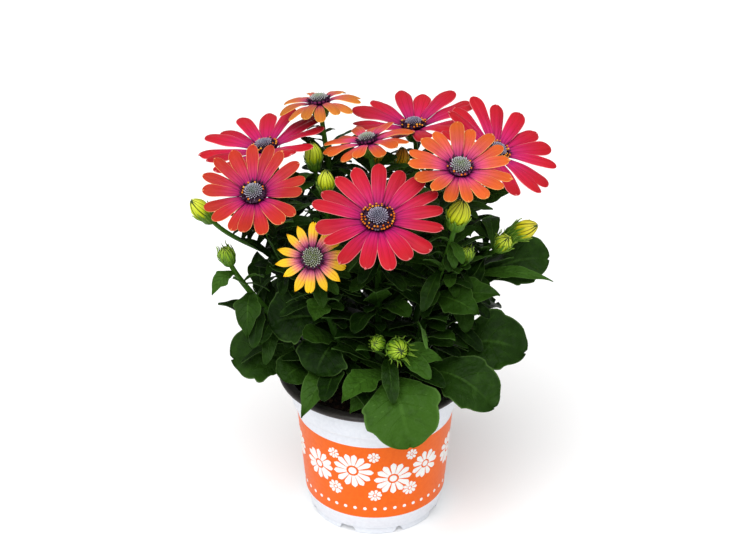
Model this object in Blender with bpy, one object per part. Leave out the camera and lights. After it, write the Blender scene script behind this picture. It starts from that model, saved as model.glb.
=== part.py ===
"""An osteospermum in its pot: nine blooms, twelve buds, leafy stems, potting soil and a plastic pot.

Lengths in the tables are millimetres and angles are degrees. The model is built in metres, +Z up,
with the origin at the middle of the pot's base. The front of the plant looks along -Y.
"""
import math
import random
from collections import namedtuple

import bmesh
import bpy
from mathutils import Quaternion, Vector
from mathutils.bvhtree import BVHTree

MM = 0.001
SEED = 7
GOLDEN_TURN = 137.5
WELD = 2e-7
UP = Vector((0, 0, 1))

# Pot and soil. A band edge is (radius, height); a foot gap is (degrees from its quarter, width).
RIM_RADIUS = 52.5
RIM_INNER_RADIUS = 47.0
POT_HEIGHT = 86.5
BASE_RADIUS = 35.5
FOOT_INNER_RADIUS = 31.4
FOOT_HEIGHT = 4.5
FOOT_GAPS = ((-25.0, 9.0), (21.5, 4.0))
QUARTERS = 4
BAND_BOTTOM = (38.6, 13.3)
BAND_TOP = (42.5, 61.6)
STEP_HEIGHT = 68.5
STEP_INNER_RADIUS = 42.0
COLLAR_INNER_RADIUS = 44.4
WALL = 1.1
POT_SIDES = 32
SOIL_TOP = 78.0
SOIL_BUMP = 1.6
SOIL_SHIFT = 2.0
SOIL_SIDES = 14
HOLE_DEPTH = 12.0
CLEAR = 0.3

# Stems, leaves and petals
STEM_SIDES = 6
STEM_FOOT_RADIUS = 2.3
STEM_NECK_RADIUS = 1.25
BRANCH_RADIUS = 1.2
BLADE_THICKNESS = 0.6
CALYX_DEPTH = 7.0
DISC_SECTORS = 10
BUD_SIDES = 10
DISC_SINK = 1.9
RING_LEVEL = -0.8
LAYER_RISE = 0.55
RAY_ROOT_SHARE = 0.88
RAY_WIDEST = 0.78
RAY_WIDTHS = ((0, 0.82), (0.42, 1.0), (0.79, 1.10), (0.98, 0.62))
YELLOW_WIDTHS = ((0, 0.80), (0.42, 0.90), (0.72, 0.78), (1.0, 0.12))

# Leaves placed by rule. The room kept round one is a wider and thicker leaf.
LEAF_LENGTH_LOW = 47.0
LEAF_LENGTH_FALL = 24.0
LEAF_WIDTH_LOW = 0.48
LEAF_WIDTH_FALL = 0.16
LEAF_ARCH = 0.16
LEAF_TRIALS = 14
TRIAL_TURN = 0.37
TRIAL_SHRINK = 0.025
ROOM_WIDER = 1.0
ROOM_THICKER = 0.7

Bloom = namedtuple("Bloom", "at turn rise reach ring rays cup droop spin colour")
BLOOMS = {
    "front": Bloom((1.5, -50, 204), 0, 65, 32.8, 8.2, 17, 14, 0.12, 4, "crimson"),
    "left": Bloom((-61, -28, 206.5), -12, 60, 26.8, 6.4, 17, 19, 0.10, 8, "red_orange"),
    "back_left": Bloom((-58, 25, 206), -95, 78, 34, 7.0, 15, 16, 0.10, 15, "crimson"),
    "top": Bloom((-29.2, 36, 227), -140, 79, 22.0, 5.6, 15, 16, 0.42, 9, "orange"),
    "centre": Bloom((-4, 10, 217), -120, 77, 23.8, 5.2, 14, 13, 0.24, 5, "orange"),
    "back": Bloom((20.7, 50, 206.5), -120, 84, 33.5, 6.6, 14, 19, 0.10, 0, "crimson"),
    "right": Bloom((42.4, -30, 222), 12, 68, 25.6, 6.3, 16, 20, 0.15, 7, "orange"),
    "far_right": Bloom((64, 25, 203.5), 55, 60, 33, 6.4, 15, 15, 0.10, 22, "crimson"),
    "yellow": Bloom((-31.2, -58, 186), 4, 42, 18.3, 5.6, 14, 6, 0.12, 12, "yellow"),
}

Bud = namedtuple("Bud", "at turn rise radius height")
BUDS = {
    "back_left": Bud((-32.3, 18, 206), -60, 84, 4.6, 12.5),
    "left_centre": Bud((-25.3, 0, 199.5), 0, 84, 4.6, 11.5),
    "left": Bud((-90, -15, 191.3), -75, 52, 4.8, 13.0),
    "right": Bud((42.5, -33, 199), 60, 76, 5.9, 13.5),
    "centre": Bud((1.0, 22, 203), 0, 86, 3.6, 12.0),
    "back": Bud((14.2, 34, 196), 30, 80, 4.0, 12.5),
    "far_right": Bud((78.5, -5, 173.5), 75, 30, 5.2, 14.0),
    "low_right": Bud((66.5, -17, 172.5), 25, 48, 4.6, 11.0),
    "small_right": Bud((47, -27, 171.5), 10, 60, 3.4, 9.0),
    "small_left": Bud((-76.4, -25, 170), -30, 64, 4.2, 10.0),
    "low_front": Bud((11.8, -52, 129), 15, 22, 5.4, 12.0),
    "low_small": Bud((1.0, -47, 129.8), -20, 30, 3.8, 8.5),
}

# A shoot ends at a head. "joins" is where a side shoot leaves the main one, as a share of it, and
# "neck" is how far the shoot runs straight under its head. A chosen leaf has its shoot, its place
# along it, tip, width, arch, the turn and rise of its face, and its kind. A stem's rule is the number
# of leaves placed by rule and the lowest and highest share of the main shoot that they take.
Shoot = namedtuple("Shoot", "head joins neck")
Leaf = namedtuple("Leaf", "shoot at tip width arch turn rise kind")
Stem = namedtuple("Stem", "root shoots leaves rule")
Head = namedtuple("Head", "edge normal depth cup spread")
STEMS = {
    "front": Stem((2, -19), [Shoot("bloom front", 0, 42)], [
        Leaf(0, 0.50, (0.5, -44, 160), 15, 0.10, 0, 40, "lance"),
    ], (9, 0.20, 0.80)),
    "yellow": Stem((-13, -20), [Shoot("bloom yellow", 0, 26)], [
        Leaf(0, 0.14, (-38, -55, 89), 19, 0.45, -20, 50, "lance"),
        Leaf(0, 0.32, (-31, -42, 108), 28, 0.35, -10, 45, "spoon"),
        Leaf(0, 0.44, (-54, -30, 131), 29, 0.28, -12, 42, "spoon"),
        Leaf(0, 0.60, (-31, -51, 145), 13, 0.25, 0, 30, "lance"),
    ], (4, 0.24, 0.76)),
    "left": Stem((-22, -7), [Shoot("bloom left", 0, 46), Shoot("bud left", 0.58, 20)], [
        Leaf(0, 0.20, (-61, 15, 119), 28, 0.40, -80, 50, "spoon"),
    ], (8, 0.26, 0.84)),
    "back_left": Stem((-21, 10), [Shoot("bloom back_left", 0, 46)], [
        Leaf(0, 0.16, (-64, 38, 104), 30, 0.42, -120, 55, "spoon"),
    ], (8, 0.22, 0.84)),
    "top": Stem((-9, 22), [Shoot("bloom top", 0, 50)], [
        Leaf(0, 0.14, (-27, 70, 100), 32, 0.45, 170, 50, "spoon"),
    ], (8, 0.22, 0.88)),
    "centre": Stem((-4, 3), [Shoot("bloom centre", 0, 46)], [], (9, 0.22, 0.86)),
    "back": Stem((8, 21), [Shoot("bloom back", 0, 48)], [
        Leaf(0, 0.15, (26, 70, 97), 33, 0.45, 170, 50, "spoon"),
    ], (8, 0.22, 0.86)),
    "right": Stem((14, -6), [Shoot("bloom right", 0, 48)], [], (9, 0.22, 0.84)),
    "far_right": Stem((24, 9), [Shoot("bloom far_right", 0, 46)], [
        Leaf(0, 0.15, (66, 40, 102), 30, 0.42, 110, 55, "spoon"),
        Leaf(0, 0.74, (72, 9, 189), 9, 0.15, 60, 30, "lance"),
    ], (8, 0.22, 0.86)),
    "bud_left": Stem((-12, 4), [Shoot("bud left_centre", 0, 34), Shoot("bud back_left", 0.66, 18)], [],
                     (8, 0.24, 0.9)),
    "bud_back": Stem((4, 12), [Shoot("bud centre", 0, 30), Shoot("bud back", 0.62, 20)], [],
                     (8, 0.24, 0.9)),
    "bud_right": Stem((27, -7), [Shoot("bud far_right", 0, 24), Shoot("bud low_right", 0.74, 14)], [
        Leaf(0, 0.13, (79, -15, 104), 33, 0.42, 35, 45, "spoon"),
        Leaf(0, 0.52, (91, 3, 151), 27, 0.30, 40, 40, "spoon"),
        Leaf(0, 0.60, (93, -14, 147), 8, 0.20, 20, 60, "lance"),
    ], (4, 0.26, 0.86)),
    "bud_front": Stem((17, -19), [Shoot("bud right", 0, 40), Shoot("bud small_right", 0.62, 14)], [
        Leaf(0, 0.12, (62, -45, 89), 30, 0.40, 25, 45, "spoon"),
        Leaf(0, 0.34, (26.5, -61, 135), 12, 0.45, 0, 20, "lance"),
        Leaf(0, 0.60, (53, -50, 148), 18, 0.20, 15, 40, "lance"),
        Leaf(0, 0.50, (64, -37, 152), 19, 0.25, 20, 60, "lance"),
    ], (5, 0.26, 0.84)),
    "bud_side": Stem((-27, -17), [Shoot("bud small_left", 0, 24)], [
        Leaf(0, 0.10, (-75, -18, 102), 33, 0.42, -35, 45, "spoon"),
        Leaf(0, 0.16, (-48, -35, 99), 20, 0.40, -15, 40, "spoon"),
        Leaf(0, 0.72, (-66, -38, 127), 15, 0.50, -10, 15, "lance"),
        Leaf(0, 0.90, (-84, -28, 147), 9, 0.55, -30, 20, "lance"),
        Leaf(0, 0.76, (-73, -31, 159), 6, 0.10, -10, 60, "lance"),
    ], (3, 0.36, 0.66)),
    "bud_low": Stem((5, -31), [Shoot("bud low_front", 0, 16), Shoot("bud low_small", 0.45, 10)], [
        Leaf(0, 0.36, (18, -69, 80.5), 41, 0.50, 0, 30, "spoon"),
        Leaf(0, 0.42, (-17, -65, 105), 17, 0.24, -25, 35, "lance"),
        Leaf(0, 0.20, (-13, -49, 88), 15, 0.35, -20, 50, "lance"),
        Leaf(0, 0.70, (35, -50, 121), 12, 0.15, 10, 40, "lance"),
    ], (2, 0.4, 0.7)),
}

COLOURS = {
    "crimson": (0.62, 0.015, 0.10),
    "red_orange": (0.75, 0.06, 0.05),
    "orange": (0.85, 0.17, 0.04),
    "yellow": (0.90, 0.45, 0.03),
    "disc": (0.10, 0.09, 0.16),
    "green": (0.03, 0.12, 0.02),
    "bud": (0.30, 0.38, 0.03),
    "soil": (0.03, 0.018, 0.01),
    "pot": (0.85, 0.86, 0.88),
}


def material(name, colour, roughness):
    """One Principled material for a kind of surface."""
    found = bpy.data.materials.get(name)
    if found:
        return found
    made = bpy.data.materials.new(name)
    made.use_nodes = True
    shader = made.node_tree.nodes["Principled BSDF"]
    shader.inputs["Base Color"].default_value = (*colour, 1)
    shader.inputs["Roughness"].default_value = roughness
    shader.inputs["Metallic"].default_value = 0.0
    return made


def direction(turn, rise):
    """Unit vector at a turn from the front towards +X and a rise from level."""
    flat = math.cos(math.radians(rise))
    turn = math.radians(turn)
    return Vector((math.sin(turn) * flat, -math.cos(turn) * flat, math.sin(math.radians(rise))))


def bezier(points, t):
    """Point on the cubic curve of four control points."""
    a, b, c, d = points
    u = 1 - t
    return a * u ** 3 + b * (3 * u * u * t) + c * (3 * u * t * t) + d * t ** 3


def frame_across(normal, spin=0.0):
    """Rotation whose local Z is the normal, turned about it by spin degrees."""
    turn = UP.rotation_difference(normal)
    return turn @ Quaternion(UP, math.radians(spin))


def outward(solid):
    """The solid with its faces turned outwards."""
    verts, faces = solid
    volume = 0.0
    for a, b, c in faces:
        volume += verts[a].dot(verts[b].cross(verts[c]))
    if volume < 0:
        faces = [(c, b, a) for a, b, c in faces]
    return verts, faces


def split(faces):
    """Triangles of faces that may have four corners."""
    done = []
    for face in faces:
        done.append(tuple(face[:3]))
        if len(face) == 4:
            done.append((face[0], face[2], face[3]))
    return done


def slab(rows, normals, thickness):
    """Thin closed blade on rows of surface points; a last row of one point makes a pointed end."""
    verts = []
    top = []
    bottom = []
    for row, normal in zip(rows, normals):
        lift = normal * (thickness / 2)
        top.append(list(range(len(verts), len(verts) + len(row))))
        verts += [point + lift for point in row]
        bottom.append(list(range(len(verts), len(verts) + len(row))))
        verts += [point - lift for point in row]
    faces = []
    for low, high in zip(range(len(rows) - 1), range(1, len(rows))):
        for j in range(len(rows[low]) - 1):
            for side, flip in ((top, 1), (bottom, -1)):
                a, b = side[low][j], side[low][j + 1]
                if len(rows[high]) == 1:
                    cells = [(a, b, side[high][0])]
                elif j < (len(rows[low]) - 1) / 2:
                    cells = [(a, b, side[high][j + 1]), (a, side[high][j + 1], side[high][j])]
                else:
                    cells = [(a, b, side[high][j]), (b, side[high][j + 1], side[high][j])]
                faces += [cell[::flip] for cell in cells]
    rim = [(i, 0) for i in range(len(rows))]
    rim += [(len(rows) - 1, j) for j in range(1, len(rows[-1]))]
    rim += [(i, len(rows[i]) - 1) for i in range(len(rows) - 2, -1, -1)]
    rim += [(0, j) for j in range(len(rows[0]) - 2, 0, -1)]
    for (i, j), (k, m) in zip(rim, rim[1:] + rim[:1]):
        faces += [(top[i][j], top[k][m], bottom[i][j]), (top[k][m], bottom[k][m], bottom[i][j])]
    return outward((verts, faces))


def skin(rings):
    """Closed solid through rings of points; a ring of one point closes an end."""
    verts = []
    index = []
    for ring in rings:
        index.append(list(range(len(verts), len(verts) + len(ring))))
        verts += ring
    faces = []
    sides = max(len(ring) for ring in rings)
    for low, high in zip(index, index[1:]):
        for j in range(sides):
            k = (j + 1) % sides
            if len(low) == 1:
                faces.append((low[0], high[j], high[k]))
            elif len(high) == 1:
                faces.append((low[j], high[0], low[k]))
            else:
                faces += split([(low[j], high[j], high[k], low[k])])
    for ring, flip in ((index[0], 1), (index[-1], -1)):
        for j in range(1, len(ring) - 1):
            faces.append((ring[0], ring[j], ring[j + 1])[::flip])
    return outward((verts, faces))


def circle(radius, height, sides):
    """A level ring of points, or the one point on the axis."""
    if radius == 0:
        return [Vector((0, 0, height))]
    turns = [math.tau * j / sides for j in range(sides)]
    return [Vector((radius * math.cos(a), radius * math.sin(a), height)) for a in turns]


def lathe(profile, sides, rough=None):
    """Solid turned from (radius, height) points that run from the axis out and back to it."""
    rings = [circle(radius, height, sides) for radius, height in profile]
    for k, ring in enumerate(rings):
        if rough and len(ring) > 1:
            for j, point in enumerate(ring):
                rough(k, j, point)
    return skin(rings)


def tube_rings(points, radii, sides):
    """Rings of points square to a line, with no twist from one to the next."""
    rings = []
    side = Vector((1, 0, 0))
    for k, (point, radius) in enumerate(zip(points, radii)):
        ahead = (points[min(k + 1, len(points) - 1)] - points[max(k - 1, 0)]).normalized()
        side = (side - ahead * side.dot(ahead)).normalized()
        other = ahead.cross(side)
        turns = [math.tau * j / sides for j in range(sides)]
        rings.append([point + (side * math.cos(a) + other * math.sin(a)) * radius for a in turns])
    return rings


def placed(solid, rotation, at):
    """The solid turned and moved."""
    verts, faces = solid
    at = Vector(at)
    return [rotation @ v + at for v in verts], faces


def ray_rows(bloom, k, rng):
    """Surface points and normals of petal k, from its root on the ring to its blunt tip."""
    root = bloom.ring * RAY_ROOT_SHARE
    reach = bloom.reach * rng.uniform(0.93, 1.03)
    length = reach - root
    upper = k % 2 == 0
    cup = math.tan(math.radians(bloom.cup + rng.uniform(0.3, 2.2) * (1 if upper else -1)))
    layer = LAYER_RISE if upper else -LAYER_RISE
    shares = YELLOW_WIDTHS if bloom.colour == "yellow" else RAY_WIDTHS
    squeeze = 0.74 if bloom.rays % 2 and k == bloom.rays - 1 else 1.0
    turn = math.tau * (k + rng.uniform(-0.10, 0.10)) / bloom.rays
    rows = []
    normals = []
    for s, share in shares:
        r = root + length * s
        spacing = math.tau * min(r, root + length * RAY_WIDEST) / bloom.rays
        half = share * squeeze * min(spacing, bloom.reach * 0.36) / 2
        z = RING_LEVEL + cup * length * s - bloom.droop * length * s ** 2 + layer * min(1, s * 2.4)
        slope = cup - 2 * bloom.droop * s
        spin = Quaternion(UP, turn)
        rows.append([spin @ Vector((r, -half, z)), spin @ Vector((r, half, z))])
        normals.append(spin @ Vector((-slope, 0, 1)).normalized() if s else UP)
    return rows, normals


def rays_solid(bloom, rng):
    """The petals of one bloom grown from the edge of the ring that joins them, as one skin."""
    verts = []
    faces = []

    def both(points, normal):
        start = len(verts)
        verts.extend(point + normal * (BLADE_THICKNESS / 2) for point in points)
        verts.extend(point - normal * (BLADE_THICKNESS / 2) for point in points)
        return list(range(start, len(verts)))

    petals = []
    inner = []
    for k in range(bloom.rays):
        rows, normals = ray_rows(bloom, k, rng)
        petals.append([both(row, normal) for row, normal in zip(rows, normals)])
        spoke = (rows[0][0] + rows[0][1]).normalized() * (bloom.ring * 0.45)
        inner.append((len(verts), len(verts) + 1))
        verts.append(Vector((spoke.x, spoke.y, -CLEAR)))
        verts.append(Vector((spoke.x, spoke.y, -DISC_SINK)))
    for k, petal in enumerate(petals):
        right, left, right_low, left_low = petal[0]
        after = petals[(k + 1) % len(petals)][0]
        top, low = inner[k]
        next_top, next_low = inner[(k + 1) % len(petals)]
        faces += [(top, right, left), (top, left, next_top), (next_top, left, after[0])]
        faces += [(low, left_low, right_low), (low, next_low, left_low), (next_low, after[2], left_low)]
        faces += split([(top, next_top, next_low, low), (left_low, after[2], after[0], left)])
        for (r0, l0, rb0, lb0), (r1, l1, rb1, lb1) in zip(petal, petal[1:]):
            faces += split([(r0, r1, l1, l0), (rb0, rb1, r1, r0), (lb1, lb0, l0, l1)])
            faces += [(rb0, lb1, rb1), (rb0, lb0, lb1)]
        tip = petal[-1]
        faces += split([(tip[2], tip[3], tip[1], tip[0])])
    return outward((verts, faces))


def disc_solid(bloom):
    """The dome of florets with the rough ring of anthers round it, in the bloom's own frame."""
    edge = bloom.ring
    dome = edge * 0.66
    profile = [(0, 0.2), (edge * 0.90, 0.2), (edge, 1.2), (edge * 0.84, 2.0), (dome, 1.7),
               (dome * 0.96, 3.0), (dome * 0.62, 4.1), (0, 4.5)]
    bumps = {2: 0.10, 3: 0.35, 4: 0.05, 5: 0.22, 6: 0.25}

    def rough(k, j, point):
        bump = bumps.get(k, 0) * (1 if (j + k) % 2 else -1)
        point.z += bump * 1.4
        point.xy *= 1 + bump / edge

    return lathe(profile, DISC_SECTORS, rough)


def bud_solid(bud):
    """A closed bud of rolled rays as a ridged egg, in the bud's own frame."""
    profile = [(0, 0), (bud.radius * 0.72, bud.height * 0.06), (bud.radius, bud.height * 0.40),
               (bud.radius * 0.78, bud.height * 0.78), (0, bud.height)]

    def ridged(k, j, point):
        point.xy *= 1.07 if j % 2 else 0.93

    return lathe(profile, BUD_SIDES, ridged)


def calyx_rings(foot, normal, side, top_radius, depth, spread):
    """The rings of the green cup under a head, with pointed bracts on its edge."""
    other = normal.cross(side)
    turns = [math.tau * j / STEM_SIDES for j in range(STEM_SIDES)]
    spokes = [side * math.cos(a) + other * math.sin(a) for a in turns]
    belly = [foot + normal * (depth * 0.42) + spoke * (top_radius * 0.86) for spoke in spokes]
    edge = []
    for j, spoke in enumerate(spokes):
        if j % 2:
            edge.append(foot + normal * (depth * 0.84) + spoke * (top_radius * 0.94))
        else:
            edge.append(foot + normal * depth + spoke * (top_radius * spread))
    return [belly, edge, [foot + normal * (depth * 0.66)]]


def blade_half_width(kind, s, side):
    """Half width of a leaf as a share of its widest, at s along it; the two sides are toothed apart."""
    if kind == "spoon":
        base = 0.10 + 0.90 * min(1, max(0, (s - 0.12) / 0.46)) ** 1.3
        round_end = math.sqrt(max(0, 1 - max(0, (s - 0.66) / 0.345) ** 2.6))
        tooth = 0.06 * math.cos(math.tau * (s * 4.2 + (0.5 if side > 0 else 0)))
        return base * round_end * (1 + tooth) / 2
    base = 0.16 + 0.84 * min(1, max(0, s / 0.50)) ** 1.1
    point = max(0, 1 - max(0, (s - 0.52) / 0.48) ** 1.4)
    tooth = 0.13 * math.cos(math.tau * (s * 2.8 + (0.5 if side > 0 else 0)))
    return base * point * (1 + tooth) / 2


LEAF_ROWS = {"spoon": (0, 0.26, 0.48, 0.70, 0.90, 1.0), "lance": (0, 0.34, 0.60, 0.82, 1.0),
             "plain": (0, 0.38, 0.70, 1.0)}


def leaf_solid(base, tip, width, arch, face, kind, thickness=BLADE_THICKNESS):
    """A leaf from its base on the stem to its tip, arched up and folded along its midrib."""
    chord = tip - base
    bend = base + chord * 0.48 + (UP * 0.8 + face * 0.4) * (arch * chord.length)
    across = chord.cross(face).normalized()
    rows = []
    normals = []
    for s in LEAF_ROWS[kind]:
        point = base * (1 - s) ** 2 + bend * (2 * s * (1 - s)) + tip * s ** 2
        along = ((bend - base) * (1 - s) + (tip - bend) * s).normalized()
        side = (across - along * across.dot(along)).normalized()
        normal = side.cross(along)
        left = blade_half_width(kind, s, -1) * width
        right = blade_half_width(kind, s, 1) * width
        normals.append(normal)
        if s == 1.0 and kind != "spoon":
            rows.append([point])
        elif kind != "spoon":
            rows.append([point - side * left, point + side * right])
        elif s == 1.0:
            rows.append([point - side * width * 0.16 - along * 0.8, point, point + side * width * 0.16
                         - along * 0.8])
        else:
            fold = normal * width * 0.07 * min(1, s * 2)
            rows.append([point - side * left + fold, point, point + side * right + fold])
    return slab(rows, normals, thickness)


def shoot_curve(stem, shoot, heads, main):
    """Control points of a shoot from the soil, or from the main shoot, to the neck of its head."""
    head = heads[shoot.head]
    normal = head.normal
    end = head.edge - normal * head.depth
    if main is None:
        start = Vector((*stem.root, SOIL_TOP + 1))
        lean = Vector((end.x - start.x, end.y - start.y, 0)) * 0.22
        rise = UP * (end.z - start.z) * 0.42
        return [start, start + lean + rise, end - normal * shoot.neck, end]
    start = bezier(main, shoot.joins)
    ahead = (bezier(main, shoot.joins + 0.05) - start).normalized()
    far = (end - start).length
    return [start, start + ahead * far * 0.30, end - normal * min(shoot.neck, far * 0.5), end]


def shoot_solid(curve, is_main, head):
    """The stem or branch along its curve, flaring into the cup under its head."""
    count = 7 if is_main else 5
    steps = [k / (count - 1) for k in range(count)]
    points = [bezier(curve, t) for t in steps]
    first, last = (STEM_FOOT_RADIUS, STEM_NECK_RADIUS) if is_main else (BRANCH_RADIUS, BRANCH_RADIUS)
    radii = [first + (last - first) * t for t in steps]
    if is_main:
        points.insert(0, points[0] - UP * (HOLE_DEPTH + 1))
        radii.insert(0, STEM_FOOT_RADIUS)
    rings = tube_rings(points, radii, STEM_SIDES)
    normal = (points[-1] - points[-2]).normalized()
    side = (rings[-1][0] - points[-1]).normalized()
    side = (side - normal * side.dot(normal)).normalized()
    return skin(rings + calyx_rings(points[-1], head.normal, side, head.cup, head.depth, head.spread))


def head_places():
    """Where each head's cup ends, its facing, and the cup's depth, radius and spread of bracts."""
    heads = {}
    for name, bloom in BLOOMS.items():
        normal = direction(bloom.turn, bloom.rise)
        edge = Vector(bloom.at) - normal * (DISC_SINK + CLEAR + 0.2)
        heads["bloom " + name] = Head(edge, normal, CALYX_DEPTH, bloom.ring * 0.82, 1.15)
    for name, bud in BUDS.items():
        normal = direction(bud.turn, bud.rise)
        edge = Vector(bud.at) - normal * (bud.height / 2 + CLEAR)
        heads["bud " + name] = Head(edge, normal, bud.height * 0.36, bud.radius * 0.84, 1.2)
    return heads


class Thicket:
    """What is already placed, node by node, so that the next leaf can be kept clear of it."""

    def __init__(self):
        self.trees = {}

    def add(self, node, solid):
        verts, faces = solid
        self.trees.setdefault(node, []).append(BVHTree.FromPolygons(verts, faces))

    def is_clear(self, node, solid):
        tree = BVHTree.FromPolygons(*solid)
        for other, trees in self.trees.items():
            if other != node and any(tree.overlap(item) for item in trees):
                return False
        return True


def rule_leaf(base, step, share, size, rng):
    """Tip, width and face of a leaf placed by rule: round the stem in turn, shorter towards the top."""
    turn = step * GOLDEN_TURN
    length = (LEAF_LENGTH_LOW - LEAF_LENGTH_FALL * share) * size * rng.uniform(0.9, 1.1)
    away = direction(turn, 18 + 22 * share)
    tip = base + away * length
    face = (UP + direction(turn, 0) * 0.35).normalized()
    return tip, length * (LEAF_WIDTH_LOW - LEAF_WIDTH_FALL * share), face


def stem_solids(name, stem, heads, thicket):
    """The shoots, calyces and hand-placed leaves of one leafy stem."""
    node = "stem_" + name
    curves = []
    solids = []
    for index, shoot in enumerate(stem.shoots):
        curve = shoot_curve(stem, shoot, heads, curves[0] if index else None)
        curves.append(curve)
        solids.append(shoot_solid(curve, index == 0, heads[shoot.head]))
    for leaf in stem.leaves:
        base = bezier(curves[leaf.shoot], leaf.at)
        face = direction(leaf.turn, leaf.rise)
        solids.append(leaf_solid(base, Vector(leaf.tip), leaf.width, leaf.arch, face, leaf.kind))
    for solid in solids:
        thicket.add(node, solid)
    return curves, solids


def add_rule_leaves(name, stem, curves, solids, thicket, rng):
    """Leaves by rule along the main shoot, each turned until it is clear of the other nodes."""
    node = "stem_" + name
    count, low, high = stem.rule
    first = rng.randrange(100)
    for k in range(count):
        share = low + (high - low) * (k + 0.5) / count
        base = bezier(curves[0], share)
        for trial in range(LEAF_TRIALS):
            step = first + k + trial * TRIAL_TURN
            tip, width, face = rule_leaf(base, step, share, 1 - TRIAL_SHRINK * trial, rng)
            room = leaf_solid(base, tip, width + ROOM_WIDER, LEAF_ARCH, face, "plain",
                              BLADE_THICKNESS + ROOM_THICKER)
            if thicket.is_clear(node, room):
                leaf = leaf_solid(base, tip, width, LEAF_ARCH, face, "plain")
                solids.append(leaf)
                thicket.add(node, leaf)
                break


def new_object(name, solid, surface, collection=None):
    """An object from a solid in millimetres."""
    verts, faces = solid
    mesh = bpy.data.meshes.new(name)
    mesh.from_pydata([v * MM for v in verts], [], faces)
    mesh.materials.append(surface)
    made = bpy.data.objects.new(name, mesh)
    (collection or bpy.context.scene.collection).objects.link(made)
    return made


def apply_modifiers(target):
    """Replace the object's mesh by what its modifiers make of it."""
    graph = bpy.context.evaluated_depsgraph_get()
    mesh = bpy.data.meshes.new_from_object(target.evaluated_get(graph))
    target.modifiers.clear()
    target.data = mesh


def joined(name, solids, surface):
    """One object from several solids that meet, by a Boolean union with a collection of the rest."""
    target = new_object(name, solids[0], surface)
    if len(solids) == 1:
        return target
    rest = bpy.data.collections.new(name + "_rest")
    bpy.context.scene.collection.children.link(rest)
    for k, solid in enumerate(solids[1:]):
        new_object(f"{name}_{k}", solid, surface, rest)
    union = target.modifiers.new("join", "BOOLEAN")
    union.operation = "UNION"
    union.operand_type = "COLLECTION"
    union.collection = rest
    apply_modifiers(target)
    for piece in list(rest.objects):
        bpy.data.objects.remove(piece)
    bpy.data.collections.remove(rest)
    keep_largest_body(target.data)
    return target


def keep_largest_body(mesh):
    """Weld the seams of a union and drop any loose scrap."""
    work = bmesh.new()
    work.from_mesh(mesh)
    bmesh.ops.remove_doubles(work, verts=work.verts, dist=WELD)
    bmesh.ops.dissolve_degenerate(work, edges=work.edges, dist=WELD)
    bmesh.ops.triangulate(work, faces=work.faces)
    bodies = []
    seen = set()
    for vert in work.verts:
        if vert in seen:
            continue
        body = {vert}
        front = [vert]
        while front:
            for edge in front.pop().link_edges:
                for other in edge.verts:
                    if other not in body:
                        body.add(other)
                        front.append(other)
        seen |= body
        bodies.append(body)
    largest = max(bodies, key=len)
    for body in bodies:
        if body is not largest:
            bmesh.ops.delete(work, geom=list(body), context="VERTS")
    work.to_mesh(mesh)
    work.free()


def shade_round(target, angle=40):
    """Smooth shading with sharp edges kept."""
    target.data.shade_smooth()
    target.data.set_sharp_from_angle(angle=math.radians(angle))


def make_pot():
    """The thin-walled pot: feet ring, tapered wall with its band, stepped collar and rolled rim."""
    profile = [
        (0, FOOT_HEIGHT), (FOOT_INNER_RADIUS - 0.4, FOOT_HEIGHT), (FOOT_INNER_RADIUS, 0),
        (BASE_RADIUS, 0), (BASE_RADIUS + 0.8, FOOT_HEIGHT), BAND_BOTTOM, BAND_TOP,
        (STEP_INNER_RADIUS + 1.2, STEP_HEIGHT - 0.8), (COLLAR_INNER_RADIUS + 1.2, STEP_HEIGHT + 0.9),
        (RIM_INNER_RADIUS, POT_HEIGHT - 3.6), (RIM_RADIUS - 0.6, POT_HEIGHT - 2.6),
        (RIM_RADIUS, POT_HEIGHT - 1.2), (RIM_RADIUS - 1.2, POT_HEIGHT), (RIM_INNER_RADIUS, POT_HEIGHT),
        (COLLAR_INNER_RADIUS, STEP_HEIGHT + 1.2), (STEP_INNER_RADIUS, STEP_HEIGHT - 1.2),
        (BASE_RADIUS - WALL - 0.4, FOOT_HEIGHT + WALL), (0, FOOT_HEIGHT + WALL),
    ]
    pot = new_object("pot", lathe(profile, POT_SIDES), material("pot_plastic", COLOURS["pot"], 0.35))
    gaps = bpy.data.collections.new("foot_gaps")
    bpy.context.scene.collection.children.link(gaps)
    for k in range(QUARTERS):
        for offset, width in FOOT_GAPS:
            box = foot_gap(math.radians(360 / QUARTERS * k - 90 + offset), width)
            new_object(f"foot_gap_{k}_{width:.0f}", box, pot.data.materials[0], gaps)
    cut = pot.modifiers.new("feet", "BOOLEAN")
    cut.operation = "DIFFERENCE"
    cut.operand_type = "COLLECTION"
    cut.collection = gaps
    apply_modifiers(pot)
    for piece in list(gaps.objects):
        bpy.data.objects.remove(piece)
    bpy.data.collections.remove(gaps)
    shade_round(pot)
    return pot


def foot_gap(angle, width):
    """The block that a gap between two feet takes out of the base ring."""
    verts = []
    for x in (FOOT_INNER_RADIUS - 3.4, BASE_RADIUS + 4.5):
        for y in (-width / 2, width / 2):
            for z in (-2.0, FOOT_HEIGHT - 0.7):
                verts.append(Quaternion(UP, angle) @ Vector((x, y, z)))
    faces = split([(0, 1, 3, 2), (4, 6, 7, 5), (0, 4, 5, 1), (2, 3, 7, 6), (0, 2, 6, 4), (1, 5, 7, 3)])
    return outward((verts, faces))


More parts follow.
